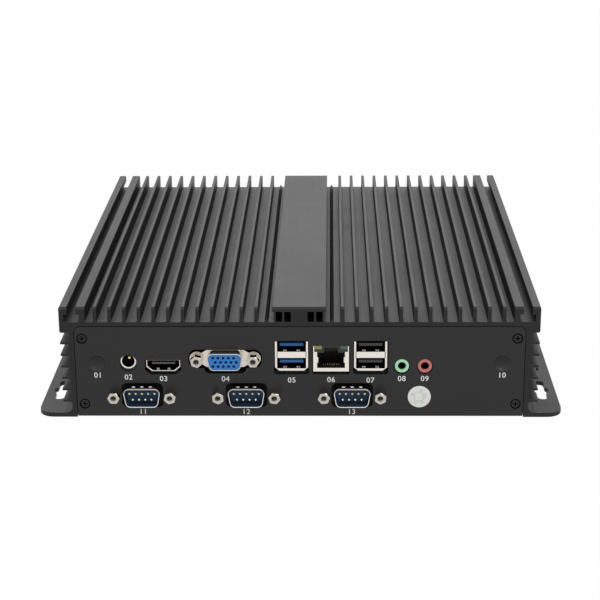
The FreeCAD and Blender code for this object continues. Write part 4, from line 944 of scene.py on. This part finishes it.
class COMPUTER_OT_board_sockets(bpy.types.Operator):
    """Finish the power, display, bus, network and sound sockets"""

    bl_idname = "computer.board_sockets"
    bl_label = "Board sockets"

    def add_power_ring(self, look):
        """The power jack's sleeve: an unbroken ring with a coned mouth."""
        low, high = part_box("power_jack_sleeve")
        middle = (low + high) / 2
        outer = (high[0] - low[0]) / 2
        wall, lip = 0.95 * MM, 0.1 * MM
        inner = outer - wall
        profile = tube_profile(inner, outer, low[1], high[1], lip, 2 * lip)
        # Painted shade: the ring turns nearly black along its top and from just inside its mouth.
        shade = (shade_past(UP, middle[2], 1.0, 1.6), shade_past(BACK, low[1], 0.3, 0.3))
        steel = plated("jack_steel", look.steel, 0.16, ramps=shade)
        add_part("power_jack_ring", [turned_piece(middle, profile)], steel,
                 "power_jack_sleeve")

    def add_springs(self, steel, start):
        """Contact tabs on the floors of the display socket and of both bus openings."""
        rows = (("display_socket_shell", (0.35,), (-2.7, -2.1, 2.1, 2.7)),
                ("blue_stack_shell", (1.1, 8.95), (-3.4, -2.5, 2.5, 3.4)),
                ("black_stack_shell", (1.1, 8.95), (-3.4, -2.5, 2.5, 3.4)))
        for node, floors, places in rows:
            low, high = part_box(node)
            middle = (low[0] + high[0]) / 2
            tabs = [spring_tab(middle + place * MM, start + 0.6 * MM, low[2] + floor * MM)
                    for floor in floors for place in places]
            add_part(node.replace("shell", "springs"), tabs, steel)

    def execute(self, context):
        look = context.scene.computer_sockets
        steel = finishes["shell_steel"]
        edge = look.fine_edge
        low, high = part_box("blue_stack_shell")
        start, top = low[1], high[2]
        # Painted shade: these shells turn nearly black from just inside their mouths, and near
        # the top of the bus stacks.
        inside = shade_past(BACK, start, 0.25, 0.3)
        painted_top_shade = shade_past(UP, top, -1.55, 0.2)
        painted_shade_steel = plated("socket_steel", look.steel, 0.05, ramps=(inside, painted_top_shade))
        for node in ("display_socket_shell", "blue_stack_shell", "black_stack_shell"):
            surfaced(node, painted_shade_steel, edge)
        surfaced("network_jack_shell", steel, edge)
        self.add_power_ring(look)
        springs = plated("spring_steel", (0.30, 0.28, 0.25), 0.4, (1.0, 0.05, 1.0))
        self.add_springs(springs, start)
        dark = coated("socket_black", (0.014, 0.014, 0.014), 0.42, 2200.0, 0.00001, tone=0.3)
        for node in ("power_jack_body", "network_jack_insert"):
            surfaced(node, dark, edge)
        for node, name, colour, roughness, tone, specular in (
                ("display_socket_tongue", "tongue_grey", (0.10, 0.10, 0.11), 0.4, 0.15, 0.5),
                ("blue_stack_tongues", "tongue_blue", look.stack_blue, 0.38, 0.15, 0.3),
                ("black_stack_tongues", "tongue_black", (0.03, 0.03, 0.032), 0.4, 0.2, 0.5)):
            surfaced(node, coated(name, colour, roughness, MOULD_GRAIN, MOULD_DEPTH, tone=tone,
                                  specular=specular), edge)
        surfaced("power_jack_pin", finishes["pin_gold"], 0.0)
        gold = plated("contact_gold", look.gold, 0.25, (1.0, 0.05, 1.0))
        surfaced("network_jack_contacts", gold, 0.0)
        low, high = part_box("network_jack_contacts")
        contacts, half_wide = 8, 0.25 * MM
        pitch = (high[0] - low[0] - 2 * half_wide) / (contacts - 1)
        bends = [dome((low[0] + half_wide + step * pitch, low[1] + 0.1 * MM, low[2] + 0.2 * MM),
                      (0.2 * MM, 0.2 * MM, 0.22 * MM)) for step in range(contacts)]
        add_part("network_jack_bends", bends, gold)
        for node, name, colour in (("network_lamp_left", "lamp_yellow", (0.26, 0.28, 0.03)),
                                   ("network_lamp_right", "lamp_green", (0.03, 0.12, 0.04))):
            surfaced(node, lens_plastic(name, colour, 0.02), edge)
        for node, name, colour in (("audio_jack", "audio_green", look.audio_green),
                                   ("mic_jack", "mic_pink", look.mic_pink)):
            # Painted shade: each ring turns nearly black from 0.7 mm inside its mouth.
            bore = (shade_past(BACK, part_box(node)[0][1], 0.7, 1.4),)
            moulded = coated(name, colour, 0.4, 1600.0, 0.000008, tone=0.08, ramps=bore)
            surfaced(node, moulded, edge * 2)
        return {"FINISHED"}


class COMPUTER_OT_panel_print(bpy.types.Operator):
    """Print the numbers on the front panel and finish the plugs and the sticker"""

    bl_idname = "computer.panel_print"
    bl_label = "Print, plugs and sticker"

    def execute(self, context):
        look = context.scene.computer_print
        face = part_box("front_panel")[0][1]
        rows = (("antenna_plug_left", 20.08), ("power_jack_sleeve", 19.13),
                ("display_socket_shell", 18.42), ("monitor_port_shell", 18.3),
                ("blue_stack_shell", 17.72), ("network_jack_shell", 17.96),
                ("black_stack_shell", 17.72), ("audio_jack", 18.45), ("mic_jack", 18.45),
                ("antenna_plug_right", 20.08), ("serial_port_1_shell", 2.6),
                ("serial_port_2_shell", 2.6), ("serial_port_3_shell", 2.6))
        parts = []
        for count, (node, height) in enumerate(rows, 1):
            points, faces = number_mesh("%02d" % count, look.tall, look.thickness)
            place = (middle_of(node)[0], face - look.thickness * 0.4, height * MM)
            parts.append((points + np.array(place), faces))
        ink = coated("print_white", look.ink, 0.5, 3200.0, 0.000004, tone=0.12)
        add_part("panel_numbers", parts, ink)
        # Painted shade: the antenna plugs turn darker towards their tops.
        painted_upper_shade = (shade_past(UP, middle_of("antenna_plug_left")[2], -2.5, 11.0),)
        plug = coated("plug_black", (0.016, 0.016, 0.0165), 0.3, 2600.0, 0.000006, tone=0.3,
                      specular=0.38, ramps=painted_upper_shade)
        for node in ("antenna_plug_left", "antenna_plug_right"):
            low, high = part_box(node)
            rim = (high[0] - low[0]) / 2
            hub = 0.0005
            outward = np.linspace(hub, 1.0, 16)
            hollow = low[1] + look.dish * (1 - outward ** 2)
            front = list(zip(rim * 0.93 * outward, hollow))
            lip = [(rim * 0.98, low[1] + 0.06 * MM), (rim, low[1] + 0.2 * MM)]
            back = [(rim, high[1]), (hub * rim, high[1])]
            shape = turned_piece((low + high) / 2, front + lip + back)
            add_part(node + "_dish", [shape], plug, node)
        surfaced("round_sticker", sticker_paper(look), 0.0)
        return {"FINISHED"}


class COMPUTER_OT_rear_controls(bpy.types.Operator):
    """Finish the power button and the status lamp on the rear panel"""

    bl_idname = "computer.rear_controls"
    bl_label = "Button and lamp"

    def execute(self, context):
        face = turned_metal("button_steel", (0.56, 0.56, 0.55), 0.26, "power_button")
        surfaced("power_button", face, 0.1 * MM, BUTTON)
        barrel = turned_metal("barrel_steel", (0.50, 0.50, 0.49), 0.3, "button_barrel")
        surfaced("button_barrel", barrel, 0.15 * MM)
        surfaced("button_nut", barrel, 0.15 * MM)
        surfaced("status_lamp", lens_plastic("status_green", (0.20, 0.52, 0.24), 0.1), 0.08 * MM)
        return {"FINISHED"}


class COMPUTER_OT_inside(bpy.types.Operator):
    """Finish the boards and everything inside the housing"""

    bl_idname = "computer.inside"
    bl_label = "Inside"

    def execute(self, context):
        upright, crosswise = (1.0, 1.0, 0.05), (0.05, 1.0, 1.0)
        place_material(("board_screws", "heat_block_screws", "drive_screw"),
                       plated("screw_steel", (0.62, 0.61, 0.58), 0.3, upright))
        place_material(("board_standoffs", "drive_post"),
                       plated("standoff_brass", (0.72, 0.55, 0.28), 0.3, upright))
        place_material(("processor", "power_coils"),
                       coated("chip_black", (0.02, 0.02, 0.02), 0.5, 2600.0, 0.00001, tone=0.3))
        place_material(("board_link", "memory_socket", "drive_socket", "cell_holder"),
                       finishes["socket_black"])
        place_material(("thermal_pads",),
                       coated("pad_grey", (0.42, 0.44, 0.47), 0.75, 1600.0, 0.00003, tone=0.2))
        place_material(("heat_block",),
                       plated("block_alu", (0.74, 0.74, 0.75), 0.34, ALONG_Y, 1500.0))
        place_material(("coin_cell",),
                       plated("cell_steel", (0.70, 0.70, 0.69), 0.28, crosswise))
        place_material(("mainboard", "serial_board", "memory_module", "storage_drive"),
                       circuit_board())
        return {"FINISHED"}


def white_to_eye(tree):
    """One for rays that show the background: straight, mirrored or passed through."""
    path = tree.nodes.new("ShaderNodeLightPath")
    seen = calculate(tree, "ADD", path.outputs["Is Camera Ray"], path.outputs["Is Glossy Ray"])
    return calculate(tree, "ADD", seen, path.outputs["Is Transmission Ray"], clamp=True)


def soft_lamp(name, place, aim, size, power):
    """A square soft lamp that faces a point."""
    data = bpy.data.lights.new(name, "AREA")
    data.shape = "SQUARE"
    data.size = size
    data.energy = power
    lamp = add_object(name, data)
    lamp.location = place
    lamp.rotation_euler = (Vector(aim) - Vector(place)).to_track_quat("-Z", "Y").to_euler()


class COMPUTER_OT_studio(bpy.types.Operator):
    """Build the floor, the white room, the soft lamps and the camera"""

    bl_idname = "computer.studio"
    bl_label = "Studio"

    def execute(self, context):
        look = context.scene.computer_studio
        half = look.floor_size / 2
        square = bpy.data.meshes.new("studio_floor")
        square.from_pydata([(-half, -half, 0), (half, -half, 0), (half, half, 0),
                            (-half, half, 0)], [], [(0, 1, 2, 3)])
        floor = add_object("studio_floor", square)
        tree, place = new_material("studio_floor")
        shader = shader_of(tree)
        grain = grained(tree, place, 200.0, 0.01, 0.02)
        tree.links.new(toned(tree, look.floor, grain["Tone"]), shader.inputs["Base Color"])
        set_roughness(tree, 0.9, grain["Patch"])
        shader.inputs["Specular IOR Level"].default_value = 0.0
        glow = add_node(tree, "ShaderNodeEmission", {"Color": (1.0, 1.0, 1.0, 1.0),
                                                     "Strength": 1.0})
        blend = calculate(tree, "MULTIPLY", white_to_eye(tree), 0.98)
        mix = add_node(tree, "ShaderNodeMixShader",
                       {0: blend, 1: shader.outputs[0], 2: glow.outputs[0]})
        tree.links.new(mix.outputs[0], tree.nodes["Material Output"].inputs["Surface"])
        square.materials.append(finishes["studio_floor"])

        world = bpy.data.worlds.new("white_room")
        world.use_nodes = True
        context.scene.world = world
        room = world.node_tree
        strength = add_node(room, "ShaderNodeMix",
                            {0: white_to_eye(room), 2: look.surround, 3: 1.0}, data_type="FLOAT")
        back = room.nodes["Background"]
        back.inputs["Color"].default_value = (1.0, 1.0, 1.0, 1.0)
        room.links.new(strength.outputs[0], back.inputs["Strength"])

        soft_lamp("overhead_lamp", (-0.5, -0.2, 1.6), (0, 0, 0), 1.6, 9.0)
        soft_lamp("back_lamp", (0, 1.6, 1.1), (0, 0, 0), 1.0, 6.5)
        soft_lamp("front_lamp", (0.7, -1.5, 0.9), (0, 0, 0), 0.9, 5.0)

        side = Vector((math.cos(look.yaw), -math.sin(look.yaw), 0))
        ahead = Vector((math.sin(look.yaw), math.cos(look.yaw), 0))
        up = Vector((0, 0, 1))
        sight = ahead * math.cos(look.pitch) - up * math.sin(look.pitch)
        crown = up * math.cos(look.pitch) + ahead * math.sin(look.pitch)
        right = side * math.cos(look.roll) + crown * math.sin(look.roll)
        top = crown * math.cos(look.roll) - side * math.sin(look.roll)
        data = bpy.data.cameras.new("camera")
        data.lens = look.lens
        data.sensor_width = 36.0
        data.clip_start, data.clip_end = 0.01, 100.0
        camera = add_object("camera", data)
        turn = Matrix((right, top, -sight)).transposed().to_4x4()
        camera.matrix_world = Matrix.Translation(look.stand) @ turn
        context.scene.camera = camera
        context.scene.view_settings.view_transform = "Standard"
        return {"FINISHED"}


OPERATORS = (COMPUTER_OT_housing, COMPUTER_OT_screws, COMPUTER_OT_serial_ports,
             COMPUTER_OT_monitor_port, COMPUTER_OT_board_sockets, COMPUTER_OT_panel_print,
             COMPUTER_OT_rear_controls, COMPUTER_OT_inside, COMPUTER_OT_studio)
SETTINGS = {"computer_housing": HousingSettings, "computer_print": PrintSettings,
            "computer_sockets": SocketSettings, "computer_studio": StudioSettings}


class COMPUTER_PT_panel(bpy.types.Panel):
    """Settings and steps of the computer"""

    bl_idname = "COMPUTER_PT_panel"
    bl_label = "Fanless computer"
    bl_space_type = "VIEW_3D"
    bl_region_type = "UI"
    bl_category = "Computer"

    def draw(self, context):
        for name in SETTINGS:
            box = self.layout.box()
            group = getattr(context.scene, name)
            for key in group.__annotations__:
                box.prop(group, key)
        for operator in OPERATORS:
            self.layout.operator(operator.bl_idname)


def register():
    """Registers the settings, the operators and the panel."""
    for name, settings in SETTINGS.items():
        bpy.utils.register_class(settings)
        setattr(bpy.types.Scene, name, bpy.props.PointerProperty(type=settings))
    for kind in (*OPERATORS, COMPUTER_PT_panel):
        bpy.utils.register_class(kind)


def unregister():
    """Takes away what register added."""
    for kind in (COMPUTER_PT_panel, *reversed(OPERATORS)):
        bpy.utils.unregister_class(kind)
    for name, settings in SETTINGS.items():
        delattr(bpy.types.Scene, name)
        bpy.utils.unregister_class(settings)


def main():
    """Runs every step in order."""
    register()
    for operator in OPERATORS:
        family, step = operator.bl_idname.split(".")
        getattr(getattr(bpy.ops, family), step)()


if __name__ == "__main__":
    main()
